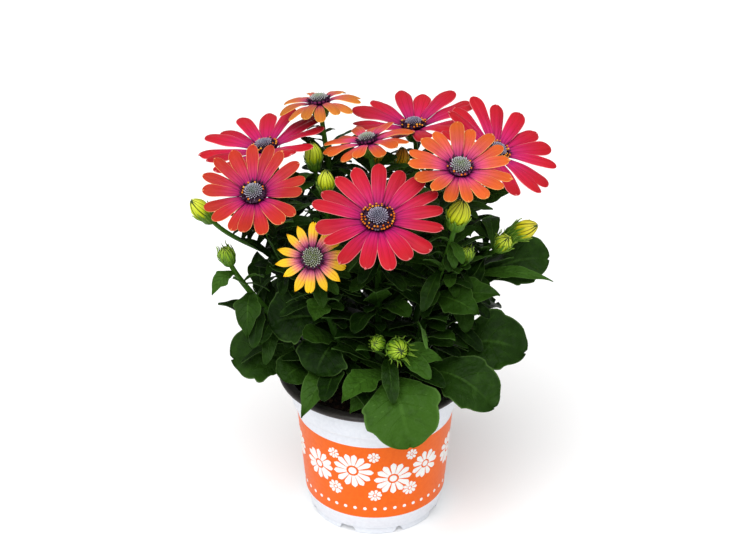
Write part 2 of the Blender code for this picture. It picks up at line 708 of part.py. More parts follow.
def make_soil(rng):
    """The compost in the pot, with a crumbly top and a plain hole for each stem."""
    bottom = FOOT_HEIGHT + WALL + CLEAR
    profile = [(0, bottom), (BASE_RADIUS - WALL - 0.8, bottom),
               (STEP_INNER_RADIUS - CLEAR * 2, STEP_HEIGHT - 1.4),
               (COLLAR_INNER_RADIUS - CLEAR * 2 - 0.2, STEP_HEIGHT + 1.6),
               (COLLAR_INNER_RADIUS + 0.5 - CLEAR, SOIL_TOP - 1.2),
               (32, SOIL_TOP), (16, SOIL_TOP), (0, SOIL_TOP)]

    def crumbly(k, j, point):
        if k >= 5:
            point.x += rng.uniform(-SOIL_SHIFT, SOIL_SHIFT)
            point.y += rng.uniform(-SOIL_SHIFT, SOIL_SHIFT)
            point.z += rng.uniform(-SOIL_BUMP, 0.6)

    compost = material("compost", COLOURS["soil"], 0.95)
    soil = new_object("soil", lathe(profile, SOIL_SIDES, crumbly), compost)
    holes = bpy.data.collections.new("stem_holes")
    bpy.context.scene.collection.children.link(holes)
    for name, stem in STEMS.items():
        foot = Vector((*stem.root, SOIL_TOP - HOLE_DEPTH - CLEAR))
        line = [foot, foot + UP * (HOLE_DEPTH + 5)]
        radius = (STEM_FOOT_RADIUS + CLEAR) / math.cos(math.pi / STEM_SIDES)
        hole = skin(tube_rings(line, [radius, radius], STEM_SIDES))
        new_object("hole_" + name, hole, compost, holes)
    cut = soil.modifiers.new("holes", "BOOLEAN")
    cut.operation = "DIFFERENCE"
    cut.operand_type = "COLLECTION"
    cut.collection = holes
    apply_modifiers(soil)
    for piece in list(holes.objects):
        bpy.data.objects.remove(piece)
    bpy.data.collections.remove(holes)
    return soil


def make_heads(thicket):
    """The rays and the disc of each bloom, and each bud."""
    for name, bloom in BLOOMS.items():
        rng = random.Random(f"{SEED} {name}")
        turn = frame_across(direction(bloom.turn, bloom.rise), bloom.spin)
        rays = placed(rays_solid(bloom, rng), turn, bloom.at)
        thicket.add("rays_" + name, rays)
        new_object("rays_" + name, rays, material("petal_" + bloom.colour, COLOURS[bloom.colour], 0.5))
        disc = placed(disc_solid(bloom), turn, bloom.at)
        thicket.add("disc_" + name, disc)
        shade_round(new_object("disc_" + name, disc, material("disc_florets", COLOURS["disc"], 0.7)))
    for name, bud in BUDS.items():
        normal = direction(bud.turn, bud.rise)
        foot = Vector(bud.at) - normal * bud.height / 2
        egg = placed(bud_solid(bud), frame_across(normal), foot)
        thicket.add("bud_" + name, egg)
        shade_round(new_object("bud_" + name, egg, material("bud_rays", COLOURS["bud"], 0.5)))


def make_stems(thicket):
    """The leafy stems, first their shoots and chosen leaves, then the leaves by rule."""
    heads = head_places()
    grown = {name: stem_solids(name, stem, heads, thicket) for name, stem in STEMS.items()}
    for name, stem in STEMS.items():
        rng = random.Random(f"{SEED} stem {name}")
        curves, solids = grown[name]
        add_rule_leaves(name, stem, curves, solids, thicket, rng)
        joined("stem_" + name, solids, material("leaf_green", COLOURS["green"], 0.45))


def main():
    """Clear the scene and build the plant."""
    for old in list(bpy.data.objects):
        bpy.data.objects.remove(old)
    make_pot()
    make_soil(random.Random(SEED))
    thicket = Thicket()
    make_heads(thicket)
    make_stems(thicket)


main()
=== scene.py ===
"""Looks of the potted osteospermum: fine petals, florets, buds, leaves, compost and pot.

Lengths in the tables are millimetres and angles are degrees. Every fine piece repeats the form of the
solid it replaces, from the same named values, and is written in metres when its mesh is made.
"""

import math
import random
from collections import namedtuple

import bpy
import numpy as np
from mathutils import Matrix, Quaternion, Vector
from mathutils.bvhtree import BVHTree
from mathutils.kdtree import KDTree


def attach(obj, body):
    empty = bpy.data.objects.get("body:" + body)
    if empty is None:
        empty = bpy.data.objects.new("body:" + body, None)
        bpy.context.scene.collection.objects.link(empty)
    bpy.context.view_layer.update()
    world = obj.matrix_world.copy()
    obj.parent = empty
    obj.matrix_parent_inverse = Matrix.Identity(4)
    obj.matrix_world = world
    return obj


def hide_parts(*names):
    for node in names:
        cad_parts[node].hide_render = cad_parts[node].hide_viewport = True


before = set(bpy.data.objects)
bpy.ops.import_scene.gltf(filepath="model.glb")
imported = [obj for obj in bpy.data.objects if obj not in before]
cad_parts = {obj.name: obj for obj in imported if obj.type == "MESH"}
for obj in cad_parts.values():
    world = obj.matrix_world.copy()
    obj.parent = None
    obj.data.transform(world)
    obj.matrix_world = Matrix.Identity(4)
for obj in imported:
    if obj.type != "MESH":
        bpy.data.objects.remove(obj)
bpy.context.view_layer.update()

MM = 0.001
SEED = 7
GOLDEN_TURN = 137.508
UP = np.array((0.0, 0.0, 1.0))
TAU = math.tau

# The solids' driving values
RIM_RADIUS = 52.5
RIM_INNER_RADIUS = 47.0
POT_HEIGHT = 86.5
BASE_RADIUS = 35.5
FOOT_INNER_RADIUS = 31.4
FOOT_HEIGHT = 4.5
FOOT_GAPS = ((-25.0, 9.0), (21.5, 4.0))
QUARTERS = 4
BAND_BOTTOM = (38.6, 13.3)
BAND_TOP = (42.5, 61.6)
STEP_HEIGHT = 68.5
STEP_INNER_RADIUS = 42.0
COLLAR_INNER_RADIUS = 44.4
WALL = 1.1
SOIL_TOP = 78.0
HOLE_DEPTH = 12.0
CLEAR = 0.3
STEM_FOOT_RADIUS = 2.3
STEM_NECK_RADIUS = 1.25
BRANCH_RADIUS = 1.2
CALYX_DEPTH = 7.0
DISC_SINK = 1.9
RING_LEVEL = -0.8
LAYER_RISE = 0.55
RAY_ROOT_SHARE = 0.88
RAY_WIDEST = 0.78
LEAF_LENGTH_LOW = 47.0
LEAF_LENGTH_FALL = 24.0
LEAF_WIDTH_LOW = 0.48
LEAF_WIDTH_FALL = 0.16
LEAF_ARCH = 0.16
LEAF_TRIALS = 14
TRIAL_TURN = 0.37
TRIAL_SHRINK = 0.025
RULE_TURN = 137.5

Bloom = namedtuple("Bloom", "at turn rise reach ring rays cup droop spin colour")
BLOOMS = {
    "front": Bloom((1.5, -50, 204), 0, 65, 32.8, 8.2, 17, 14, 0.12, 4, "crimson"),
    "left": Bloom((-61, -28, 206.5), -12, 60, 26.8, 6.4, 17, 19, 0.10, 8, "red_orange"),
    "back_left": Bloom((-58, 25, 206), -95, 78, 34, 7.0, 15, 16, 0.10, 15, "crimson"),
    "top": Bloom((-29.2, 36, 227), -140, 79, 22.0, 5.6, 15, 16, 0.42, 9, "orange"),
    "centre": Bloom((-4, 10, 217), -120, 77, 23.8, 5.2, 14, 13, 0.24, 5, "orange"),
    "back": Bloom((20.7, 50, 206.5), -120, 84, 33.5, 6.6, 14, 19, 0.10, 0, "crimson"),
    "right": Bloom((42.4, -30, 222), 12, 68, 25.6, 6.3, 16, 20, 0.15, 7, "orange"),
    "far_right": Bloom((64, 25, 203.5), 55, 60, 33, 6.4, 15, 15, 0.10, 22, "crimson"),
    "yellow": Bloom((-31.2, -58, 186), 4, 42, 18.3, 5.6, 14, 6, 0.12, 12, "yellow"),
}

# The last three say how far a bud has turned from green to the colour of its rays, the share of it that
# its bracts reach, and how far they open, from 0 for closed on it to 1 for a wide crown.
Bud = namedtuple("Bud", "at turn rise radius height ripe wrap flare")
BUDS = {
    "back_left": Bud((-32.3, 18, 206), -60, 84, 4.6, 12.5, 0.17, 0.42, 0.1),
    "left_centre": Bud((-25.3, 0, 199.5), 0, 84, 4.6, 11.5, 0.20, 0.50, 0.1),
    "left": Bud((-90, -15, 191.3), -75, 52, 4.8, 13.0, 0.20, 0.55, 0.2),
    "right": Bud((42.5, -33, 199), 60, 76, 5.9, 13.5, 0.32, 0.40, 0.15),
    "centre": Bud((1.0, 22, 203), 0, 86, 3.6, 12.0, 0.75, 0.50, 0.1),
    "back": Bud((14.2, 34, 196), 30, 80, 4.0, 12.5, 1.0, 0.50, 0.1),
    "far_right": Bud((78.5, -5, 173.5), 75, 30, 5.2, 14.0, 0.62, 0.62, 0.4),
    "low_right": Bud((66.5, -17, 172.5), 25, 48, 4.6, 11.0, 0.15, 1.10, 0.8),
    "small_right": Bud((47, -27, 171.5), 10, 60, 3.4, 9.0, 0.05, 1.10, 0.6),
    "small_left": Bud((-76.4, -25, 170), -30, 64, 4.2, 10.0, 0.0, 1.15, 0.5),
    "low_front": Bud((11.8, -52, 129), 15, 22, 5.4, 12.0, 0.05, 1.25, 1.0),
    "low_small": Bud((1.0, -47, 129.8), -20, 30, 3.8, 8.5, 0.0, 1.00, 0.5),
}
Shoot = namedtuple("Shoot", "head joins neck")
Leaf = namedtuple("Leaf", "at tip width arch turn rise kind")
Stem = namedtuple("Stem", "root shoots leaves rule")
Head = namedtuple("Head", "edge normal depth cup spread")
STEMS = {
    "front": Stem((2, -19), [Shoot("bloom front", 0, 42)], [
        Leaf(0.50, (0.5, -44, 160), 15, 0.10, 0, 40, "lance"),
    ], (9, 0.20, 0.80)),
    "yellow": Stem((-13, -20), [Shoot("bloom yellow", 0, 26)], [
        Leaf(0.14, (-38, -55, 89), 19, 0.45, -20, 50, "lance"),
        Leaf(0.32, (-31, -42, 108), 28, 0.35, -10, 45, "spoon"),
        Leaf(0.44, (-54, -30, 131), 29, 0.28, -12, 42, "spoon"),
        Leaf(0.60, (-31, -51, 145), 13, 0.25, 0, 30, "lance"),
    ], (4, 0.24, 0.76)),
    "left": Stem((-22, -7), [Shoot("bloom left", 0, 46), Shoot("bud left", 0.58, 20)], [
        Leaf(0.20, (-61, 15, 119), 28, 0.40, -80, 50, "spoon"),
    ], (8, 0.26, 0.84)),
    "back_left": Stem((-21, 10), [Shoot("bloom back_left", 0, 46)], [
        Leaf(0.16, (-64, 38, 104), 30, 0.42, -120, 55, "spoon"),
    ], (8, 0.22, 0.84)),
    "top": Stem((-9, 22), [Shoot("bloom top", 0, 50)], [
        Leaf(0.14, (-27, 70, 100), 32, 0.45, 170, 50, "spoon"),
    ], (8, 0.22, 0.88)),
    "centre": Stem((-4, 3), [Shoot("bloom centre", 0, 46)], [], (9, 0.22, 0.86)),
    "back": Stem((8, 21), [Shoot("bloom back", 0, 48)], [
        Leaf(0.15, (26, 70, 97), 33, 0.45, 170, 50, "spoon"),
    ], (8, 0.22, 0.86)),
    "right": Stem((14, -6), [Shoot("bloom right", 0, 48)], [], (9, 0.22, 0.84)),
    "far_right": Stem((24, 9), [Shoot("bloom far_right", 0, 46)], [
        Leaf(0.15, (66, 40, 102), 30, 0.42, 110, 55, "spoon"),
        Leaf(0.74, (72, 9, 189), 9, 0.15, 60, 30, "lance"),
    ], (8, 0.22, 0.86)),
    "bud_left": Stem((-12, 4), [Shoot("bud left_centre", 0, 34), Shoot("bud back_left", 0.66, 18)], [],
                     (8, 0.24, 0.9)),
    "bud_back": Stem((4, 12), [Shoot("bud centre", 0, 30), Shoot("bud back", 0.62, 20)], [],
                     (8, 0.24, 0.9)),
    "bud_right": Stem((27, -7), [Shoot("bud far_right", 0, 24), Shoot("bud low_right", 0.74, 14)], [
        Leaf(0.13, (79, -15, 104), 33, 0.42, 35, 45, "spoon"),
        Leaf(0.52, (91, 3, 151), 27, 0.30, 40, 40, "spoon"),
        Leaf(0.60, (93, -14, 147), 8, 0.20, 20, 60, "lance"),
    ], (4, 0.26, 0.86)),
    "bud_front": Stem((17, -19), [Shoot("bud right", 0, 40), Shoot("bud small_right", 0.62, 14)], [
        Leaf(0.12, (62, -45, 89), 30, 0.40, 25, 45, "spoon"),
        Leaf(0.34, (26.5, -61, 135), 12, 0.45, 0, 20, "lance"),
        Leaf(0.60, (53, -50, 148), 18, 0.20, 15, 40, "lance"),
        Leaf(0.50, (64, -37, 152), 19, 0.25, 20, 60, "lance"),
    ], (5, 0.26, 0.84)),
    "bud_side": Stem((-27, -17), [Shoot("bud small_left", 0, 24)], [
        Leaf(0.10, (-75, -18, 102), 33, 0.42, -35, 45, "spoon"),
        Leaf(0.16, (-48, -35, 99), 20, 0.40, -15, 40, "spoon"),
        Leaf(0.72, (-66, -38, 127), 15, 0.50, -10, 15, "lance"),
        Leaf(0.90, (-84, -28, 147), 9, 0.55, -30, 20, "lance"),
        Leaf(0.76, (-73, -31, 159), 6, 0.10, -10, 60, "lance"),
    ], (3, 0.36, 0.66)),
    "bud_low": Stem((5, -31), [Shoot("bud low_front", 0, 16), Shoot("bud low_small", 0.45, 10)], [
        Leaf(0.36, (18, -69, 80.5), 41, 0.50, 0, 30, "spoon"),
        Leaf(0.42, (-17, -65, 105), 17, 0.24, -25, 35, "lance"),
        Leaf(0.20, (-13, -49, 88), 15, 0.35, -20, 50, "lance"),
        Leaf(0.70, (35, -50, 121), 12, 0.15, 10, 40, "lance"),
    ], (2, 0.4, 0.7)),
}


def srgb(colour):
    """Linear colour, with alpha, of a screen colour given in 0 to 255."""
    linear = []
    for value in colour:
        value /= 255
        linear.append(value / 12.92 if value <= 0.04045 else ((value + 0.055) / 1.055) ** 2.4)
    return (*linear, 1.0)


class Field:
    """A value that varies over a surface. Plain arithmetic on it adds nodes to the material."""

    def __init__(self, surface, socket):
        self.surface = surface
        self.socket = socket

    def __add__(self, other):
        return self.surface.math("ADD", self, other)

    def __radd__(self, other):
        return self.surface.math("ADD", other, self)

    def __sub__(self, other):
        return self.surface.math("SUBTRACT", self, other)

    def __rsub__(self, other):
        return self.surface.math("SUBTRACT", other, self)

    def __mul__(self, other):
        return self.surface.math("MULTIPLY", self, other)

    def __abs__(self):
        return self.surface.math("ABSOLUTE", self)

    def rise(self, low, high):
        """0 below low, 1 above high and smooth between; the other way where low is above high."""
        if low > high:
            return 1.0 - self.rise(high, low)
        return self.surface.node("MapRange", {"Value": self, "From Min": low, "From Max": high},
                                 interpolation_type="SMOOTHSTEP")


class Surface:
    """A Principled material, with short ways to add nodes to it and to build up its colour."""

    def __init__(self, name, **constants):
        self.material = bpy.data.materials.new(name)
        self.material.use_nodes = True
        self.tree = self.material.node_tree
        self.shader = self.tree.nodes["Principled BSDF"]
        self.body = None
        for socket, value in constants.items():
            self.shader.inputs[socket.replace("_", " ")].default_value = value

    def feed(self, socket, value):
        """Link a socket to a field, or give it a value; a colour of three numbers is a screen colour."""
        if isinstance(value, Field):
            self.tree.links.new(value.socket, socket)
        elif isinstance(value, tuple) and len(value) == 3:
            socket.default_value = srgb(value)
        else:
            socket.default_value = value

    def node(self, kind, inputs, output=0, **settings):
        made = self.tree.nodes.new("ShaderNode" + kind)
        for key, value in settings.items():
            setattr(made, key, value)
        for socket, value in inputs.items():
            self.feed(made.inputs[socket], value)
        return Field(self, made.outputs[output])

    def mark(self, name):
        """A number stored at each vertex, by name."""
        return self.node("Attribute", {}, "Fac", attribute_name=name)

    def math(self, operation, a, b=0.0):
        return self.node("Math", {0: a, 1: b}, operation=operation)

    def mix(self, share, a, b, blend="MIX"):
        return self.node("Mix", {0: share, 6: a, 7: b}, 2, data_type="RGBA", blend_type=blend)

    def tint(self, colour, share):
        """Lay a colour over the surface's own by a share from 0 to 1."""
        self.body = self.mix(share, self.body, colour)

    def ramp(self, factor, stops):
        made = self.tree.nodes.new("ShaderNodeValToRGB")
        elements = made.color_ramp.elements
        for place, colour in stops[1:-1]:
            elements.new(place).color = srgb(colour)
        for end in (0, -1):
            place, colour = stops[end]
            elements[end].position = place
            elements[end].color = srgb(colour)
        self.feed(made.inputs[0], factor)
        return Field(self, made.outputs[0])

    def noise(self, scale, detail=2.0, vector=None):
        inputs = {"Scale": scale, "Detail": detail}
        inputs["Vector"] = self.node("TexCoord", {}, "Object") if vector is None else vector
        return self.node("TexNoise", inputs, "Fac")

    def vector(self, x, y, z):
        return self.node("CombineXYZ", {0: x, 1: y, 2: z})

    def bump(self, height, distance, strength=1.0):
        normal = self.node("Bump", {"Height": height, "Distance": distance, "Strength": strength})
        self.feed(self.shader.inputs["Normal"], normal)

    def paint(self, roughness=None):
        """The finished material, with its colour and, if given, its roughness."""
        self.feed(self.shader.inputs["Base Color"], self.body)
        if roughness is not None:
            self.feed(self.shader.inputs["Roughness"], roughness)
        return self.material


# The colours of a petal from its root to its tip, of its edge and how clear that is, and of its underside.
PETAL_COLOURS = {
    "crimson": ([(0.0, (28, 2, 24)), (0.04, (88, 4, 58)), (0.10, (172, 22, 104)), (0.24, (194, 27, 95)),
                 (0.50, (192, 20, 61)), (0.76, (189, 19, 39)), (1.0, (181, 15, 29))],
                (244, 150, 150), 0.70, (96, 10, 30)),
    "red_orange": ([(0.0, (28, 2, 24)), (0.05, (96, 8, 66)), (0.12, (180, 32, 108)), (0.30, (191, 45, 89)),
                    (0.54, (187, 39, 49)), (0.80, (183, 43, 29)), (1.0, (185, 48, 23))],
                   (246, 170, 110), 0.80, (112, 18, 32)),
    "orange": ([(0.0, (44, 4, 36)), (0.05, (108, 14, 74)), (0.11, (182, 50, 118)), (0.27, (214, 76, 112)),
                (0.50, (209, 83, 67)), (0.76, (208, 87, 36)), (1.0, (210, 94, 24))],
               (248, 190, 110), 0.75, (128, 36, 34)),
    "amber": ([(0.0, (44, 4, 36)), (0.05, (108, 14, 74)), (0.12, (160, 56, 100)), (0.27, (190, 84, 94)),
               (0.50, (194, 100, 64)), (0.76, (196, 109, 44)), (1.0, (201, 119, 34))],
              (250, 196, 100), 0.8, (132, 44, 34)),
    "yellow": ([(0.0, (58, 6, 44)), (0.08, (122, 28, 84)), (0.20, (196, 96, 130)), (0.40, (236, 150, 104)),
                (0.58, (244, 188, 46)), (1.0, (246, 200, 22))], (246, 208, 90), 0.4, (160, 96, 32)),
}
# A bloom whose petals are another tint than its solid's colour.
TINTS = {"top": "amber"}
# Dark purple along the sides of each petal near its root: partly the petal's own purple, partly painted shade
# where neighbouring petals overlap; the reaches say how far out it goes.
PURPLE_SEAM_SHADE = (70, 2, 54)
SEAM_SHADE_REACH = 0.42
YELLOW_SEAM_SHADE_REACH = 0.34


def petal_surfaces(colour):
    """The upper and the lower side of the petals of one colour."""
    stops, edge, clear, under = PETAL_COLOURS[colour]
    upper = Surface("petal_" + colour, Roughness=0.5, Specular_IOR_Level=0.18)
    along, across, shade = upper.mark("along"), upper.mark("across"), upper.mark("shade")
    out = abs(across)
    streaks = upper.noise(5.0, 4.0, upper.vector(across * 3.0, along * 0.5, shade * 40.0))
    upper.body = upper.ramp(along + (streaks - 0.5) * 0.34, stops)
    deep = upper.mix(1.0, upper.body, (176, 120, 150), "MULTIPLY")
    upper.tint(deep, abs(out - 0.36).rise(0.10, 0.0) * along.rise(1.0, 0.05) * 0.6)
    upper.tint(deep, streaks.rise(0.52, 0.72) * 0.38)
    # painted shade, with the petal's own purple, along the sides of each petal near its root where the petals
    # overlap
    reach = YELLOW_SEAM_SHADE_REACH if colour == "yellow" else SEAM_SHADE_REACH
    upper.tint(PURPLE_SEAM_SHADE, out.rise(0.66, 0.92) * along.rise(reach, 0.04) * 0.80)
    margin = upper.math("MAXIMUM", out.rise(0.91, 0.985), along.rise(0.995, 1.018))
    upper.tint(edge, margin * along.rise(0.14, 0.42) * clear)
    light = 0.86 + shade * 0.22
    grey = upper.node("CombineColor", {0: light, 1: light, 2: light})
    upper.body = upper.mix(1.0, upper.body, grey, "MULTIPLY")
    upper.bump(streaks, 0.00035, 0.6)

    lower = Surface("petal_under_" + colour, Roughness=0.55, Specular_IOR_Level=0.2)
    along, across = lower.mark("along"), lower.mark("across")
    streaks = lower.noise(6.0, 3.0, lower.vector(across * 4.0, along, 0.0))
    lower.body = lower.mix(abs(across).rise(0.60, 0.10) * 0.6, under, (70, 14, 30))
    lower.tint(stops[-1][1], streaks * 0.35)
    return [upper.paint(), lower.paint()]


# Tones of a leaf's side from shade to light, and its roughness.
LEAF_SIDES = {
    "leaf_upper": (((5, 17, 1), (16, 39, 3), (54, 90, 24)), 0.50),
    "leaf_under": (((18, 38, 8), (34, 62, 14), (68, 104, 38)), 0.58),
}
LEAF_VEINS = 7.0
VEIN_SLANT = 1.7


def leaf_surfaces():
    """The upper and the lower side of the leaves, with patches, faint veins and a puckered skin."""
    sides = []
    for name, ((dark, middle, bright), rough) in LEAF_SIDES.items():
        leaf = Surface(name, Specular_IOR_Level=0.08)
        along, shade, out = leaf.mark("along"), leaf.mark("shade"), abs(leaf.mark("across"))
        leaf.body = leaf.ramp(shade, [(0.0, dark), (0.55, middle), (1.0, bright)])
        patches = leaf.noise(160.0, 4.0)
        leaf.tint(bright, patches.rise(0.45, 0.75) * 0.32)
        leaf.tint(dark, patches.rise(0.50, 0.25) * 0.26)
        vein = leaf.math("PINGPONG", along * LEAF_VEINS - out * VEIN_SLANT, 0.5).rise(0.07, 0.0)
        vein = vein * out.rise(0.95, 0.55) * along.rise(0.04, 0.2) * along.rise(0.92, 0.74)
        leaf.tint((84, 130, 44), vein * 0.10)
        leaf.tint((96, 144, 54), out.rise(0.075, 0.02) * along.rise(1.0, 0.55) * 0.17)
        leaf.tint((98, 132, 66), out.rise(0.92, 0.99) * 0.38)
        puckers = leaf.noise(1400.0, 3.0) * 0.10 + leaf.noise(210.0, 2.0) * 1.3
        leaf.bump(puckers - vein * 0.24, 0.0014, 0.9)
        sides.append(leaf.paint(rough - 0.08 + patches * 0.22))
    return sides


def stem_surface():
    """The green skin of stems and cups, paler towards the heads."""
    stem = Surface("stem_skin", Specular_IOR_Level=0.15)
    tones = [(0.0, (26, 44, 12)), (0.5, (44, 84, 16)), (1.0, (74, 122, 30))]
    stem.body = stem.ramp(stem.mark("along"), tones)
    grain = stem.noise(420.0, 4.0)
    stem.tint((20, 34, 16), grain * 0.4)
    stem.bump(stem.noise(1500.0, 2.0), 0.0002, 0.8)
    return stem.paint(0.38 + grain * 0.2)


def bract_surface():
    """The pointed green bracts of cups and buds, with a dark middle and a pale thin edge."""
    bract = Surface("bract", Specular_IOR_Level=0.15)
    out = abs(bract.mark("across"))
    tones = [(0.0, (42, 82, 16)), (0.6, (82, 132, 28)), (1.0, (140, 176, 58))]
    bract.body = bract.ramp(bract.mark("along"), tones)
    bract.tint((24, 52, 10), out.rise(0.45, 0.05) * 0.5)
    bract.tint((110, 146, 40), bract.mark("shade") * 0.35)
    bract.tint((150, 176, 90), out.rise(0.6, 1.0) * 0.4)
    bract.bump(bract.noise(1800.0, 2.0), 0.0002, 0.6)
    return bract.paint(0.45)


def bud_surfaces():
    """The rolled rays of a bud and the dark green between them."""
    ray = Surface("bud_ray", Specular_IOR_Level=0.15)
    along, across, ripe = ray.mark("along"), ray.mark("across"), ray.mark("shade")
    fresh = ray.ramp(along, [(0.0, (84, 134, 24)), (0.5, (136, 182, 36)), (1.0, (180, 212, 70))])
    yellow = ray.ramp(along, [(0.0, (138, 168, 20)), (0.4, (206, 216, 26)), (1.0, (232, 236, 80))])
    warm = ray.ramp(along, [(0.0, (150, 140, 20)), (0.45, (214, 160, 20)), (1.0, (180, 92, 22))])
    ray.body = ray.mix(ripe.rise(0.0, 0.28), fresh, yellow)
    ray.tint(warm, ripe.rise(0.40, 1.0))
    streaks = ray.noise(7.0, 3.0, ray.vector(across * 4.0, along, 0.0))
    dark = ray.mix(ripe, (56, 84, 8), (84, 50, 16))
    ray.tint(dark, abs(across).rise(0.62, 0.94) * along.rise(0.05, 0.45) * 0.80)
    ray.tint(dark, streaks.rise(0.5, 0.8) * 0.4)
    core = Surface("bud_core", Roughness=0.7)
    core.body = core.mix(core.noise(500.0), (40, 60, 8), (60, 84, 14))
    return [ray.paint(0.45), core.paint()]


# The disc of each colour: tips of the closed florets at the middle and at the rim of the dome, the painted
# shade between them, laid on the florets' feet, and the ring's own colour. Then the step between open
# florets, in millimetres, the dome's share of the disc's radius, and the share of open florets that stand up
# as spikes.
DiscLook = namedtuple("DiscLook", "middle rim gap ring step dome spikes")
DISC_LOOKS = {
    "crimson": DiscLook((106, 106, 126), (160, 150, 174), (30, 12, 32), (56, 8, 40), 1.45, 0.57, 0.35),
    "red_orange": DiscLook((126, 136, 128), (172, 168, 184), (40, 28, 42), (64, 10, 48), 1.55, 0.64, 0.7),
    "orange": DiscLook((140, 154, 118), (178, 178, 180), (52, 46, 50), (150, 52, 112), 2.2, 0.73, 0.9),
    "yellow": DiscLook((128, 142, 92), (158, 162, 138), (56, 58, 40), (128, 44, 88), 1.9, 0.79, 0.6),
}


def disc_surfaces(colour):
    """The closed florets, the dark open ones, their pollen and the ring of one disc."""
    look = DISC_LOOKS[colour]
    floret = Surface("florets_" + colour, Roughness=0.6, Specular_IOR_Level=0.3)
    floret.body = floret.mix(floret.mark("across").rise(0.25, 1.0), look.middle, look.rim)
    floret.tint((196, 196, 210), floret.mark("shade") * 0.5)
    # painted shade: the feet of the closed florets take the dark colour, for the shade between them
    floret.tint(look.gap, floret.mark("along").rise(0.75, 0.15))
    dark = Surface("open_florets_" + colour, Roughness=0.42, Specular_IOR_Level=0.4)
    dark.body = dark.mix(dark.mark("along").rise(0.2, 1.0), (16, 4, 18), (62, 26, 62))
    ring = Surface("disc_ring_" + colour, Roughness=0.6, Specular_IOR_Level=0.2)
    ring.body = ring.mix(ring.noise(800.0), look.ring, (30, 4, 26))
    pollen = Surface("pollen", Roughness=0.75, Specular_IOR_Level=0.2)
    grain = pollen.noise(2600.0, 2.0)
    gold = [(0.0, (214, 96, 16)), (0.6, (238, 142, 34)), (1.0, (250, 190, 70))]
    pollen.body = pollen.ramp(pollen.mark("shade"), gold)
    pollen.tint((160, 66, 10), grain * 0.35)
    pollen.bump(grain, 0.0002)
    return [floret.paint(), dark.paint(), pollen.paint(), ring.paint()]


def plain_surface(name, colour, other, scale, roughness, depth, **constants):
    """A surface of two close tones with a fine bump."""
    made = Surface(name, **constants)
    grain = made.noise(scale, 5.0)
    made.bump(grain, depth, 0.7)
    made.body = made.mix(grain.rise(0.35, 0.7), colour, other)
    return made.paint(roughness - 0.06 + grain * 0.12)


def soil_surface():
    """Dark peaty compost with paler crumbs."""
    soil = Surface("compost_crumbs", Specular_IOR_Level=0.2)
    tones = [(0.30, (12, 8, 6)), (0.55, (34, 22, 15)), (0.75, (58, 38, 24))]
    soil.body = soil.ramp(soil.noise(330.0, 6.0), tones)
    soil.tint((86, 62, 42), soil.mark("shade") * 0.8)
    soil.bump(soil.noise(900.0, 5.0), 0.0008)
    return soil.paint(0.9)


def unit(vectors):
    """Vectors of length one."""
    return vectors / np.linalg.norm(vectors, axis=-1, keepdims=True)


def direction(turn, rise):
    """Unit vector at a turn from the front towards +X and a rise from level."""
    turn, rise = math.radians(turn), math.radians(rise)
    flat = math.cos(rise)
    return np.array((math.sin(turn) * flat, -math.cos(turn) * flat, math.sin(rise)))


def bezier(points, t):
    """Points on the cubic curve of four control points."""
    t = np.asarray(t, float)[..., None]
    u = 1 - t
    a, b, c, d = points
    return a * u ** 3 + b * (3 * u * u * t) + c * (3 * u * t * t) + d * t ** 3


def spokes(turns):
    """Level vectors of length one at angles round the Z axis."""
    return np.stack([np.cos(turns), np.sin(turns), np.zeros(np.shape(turns))], -1)


def frame_across(normal, spin=0.0):
    """Rotation matrix whose local Z is the normal, turned about it by spin degrees."""
    turn = Vector(UP).rotation_difference(Vector(normal)) @ Quaternion(Vector(UP), math.radians(spin))
    return np.array(turn.to_matrix())


def between(value, points):
    """Height on the line through (place, height) points."""
    return np.interp(value, [p[0] for p in points], [p[1] for p in points])


def show(name, data):
    """A new object in the scene."""
    made = bpy.data.objects.new(name, data)
    bpy.context.scene.collection.objects.link(made)
    return made


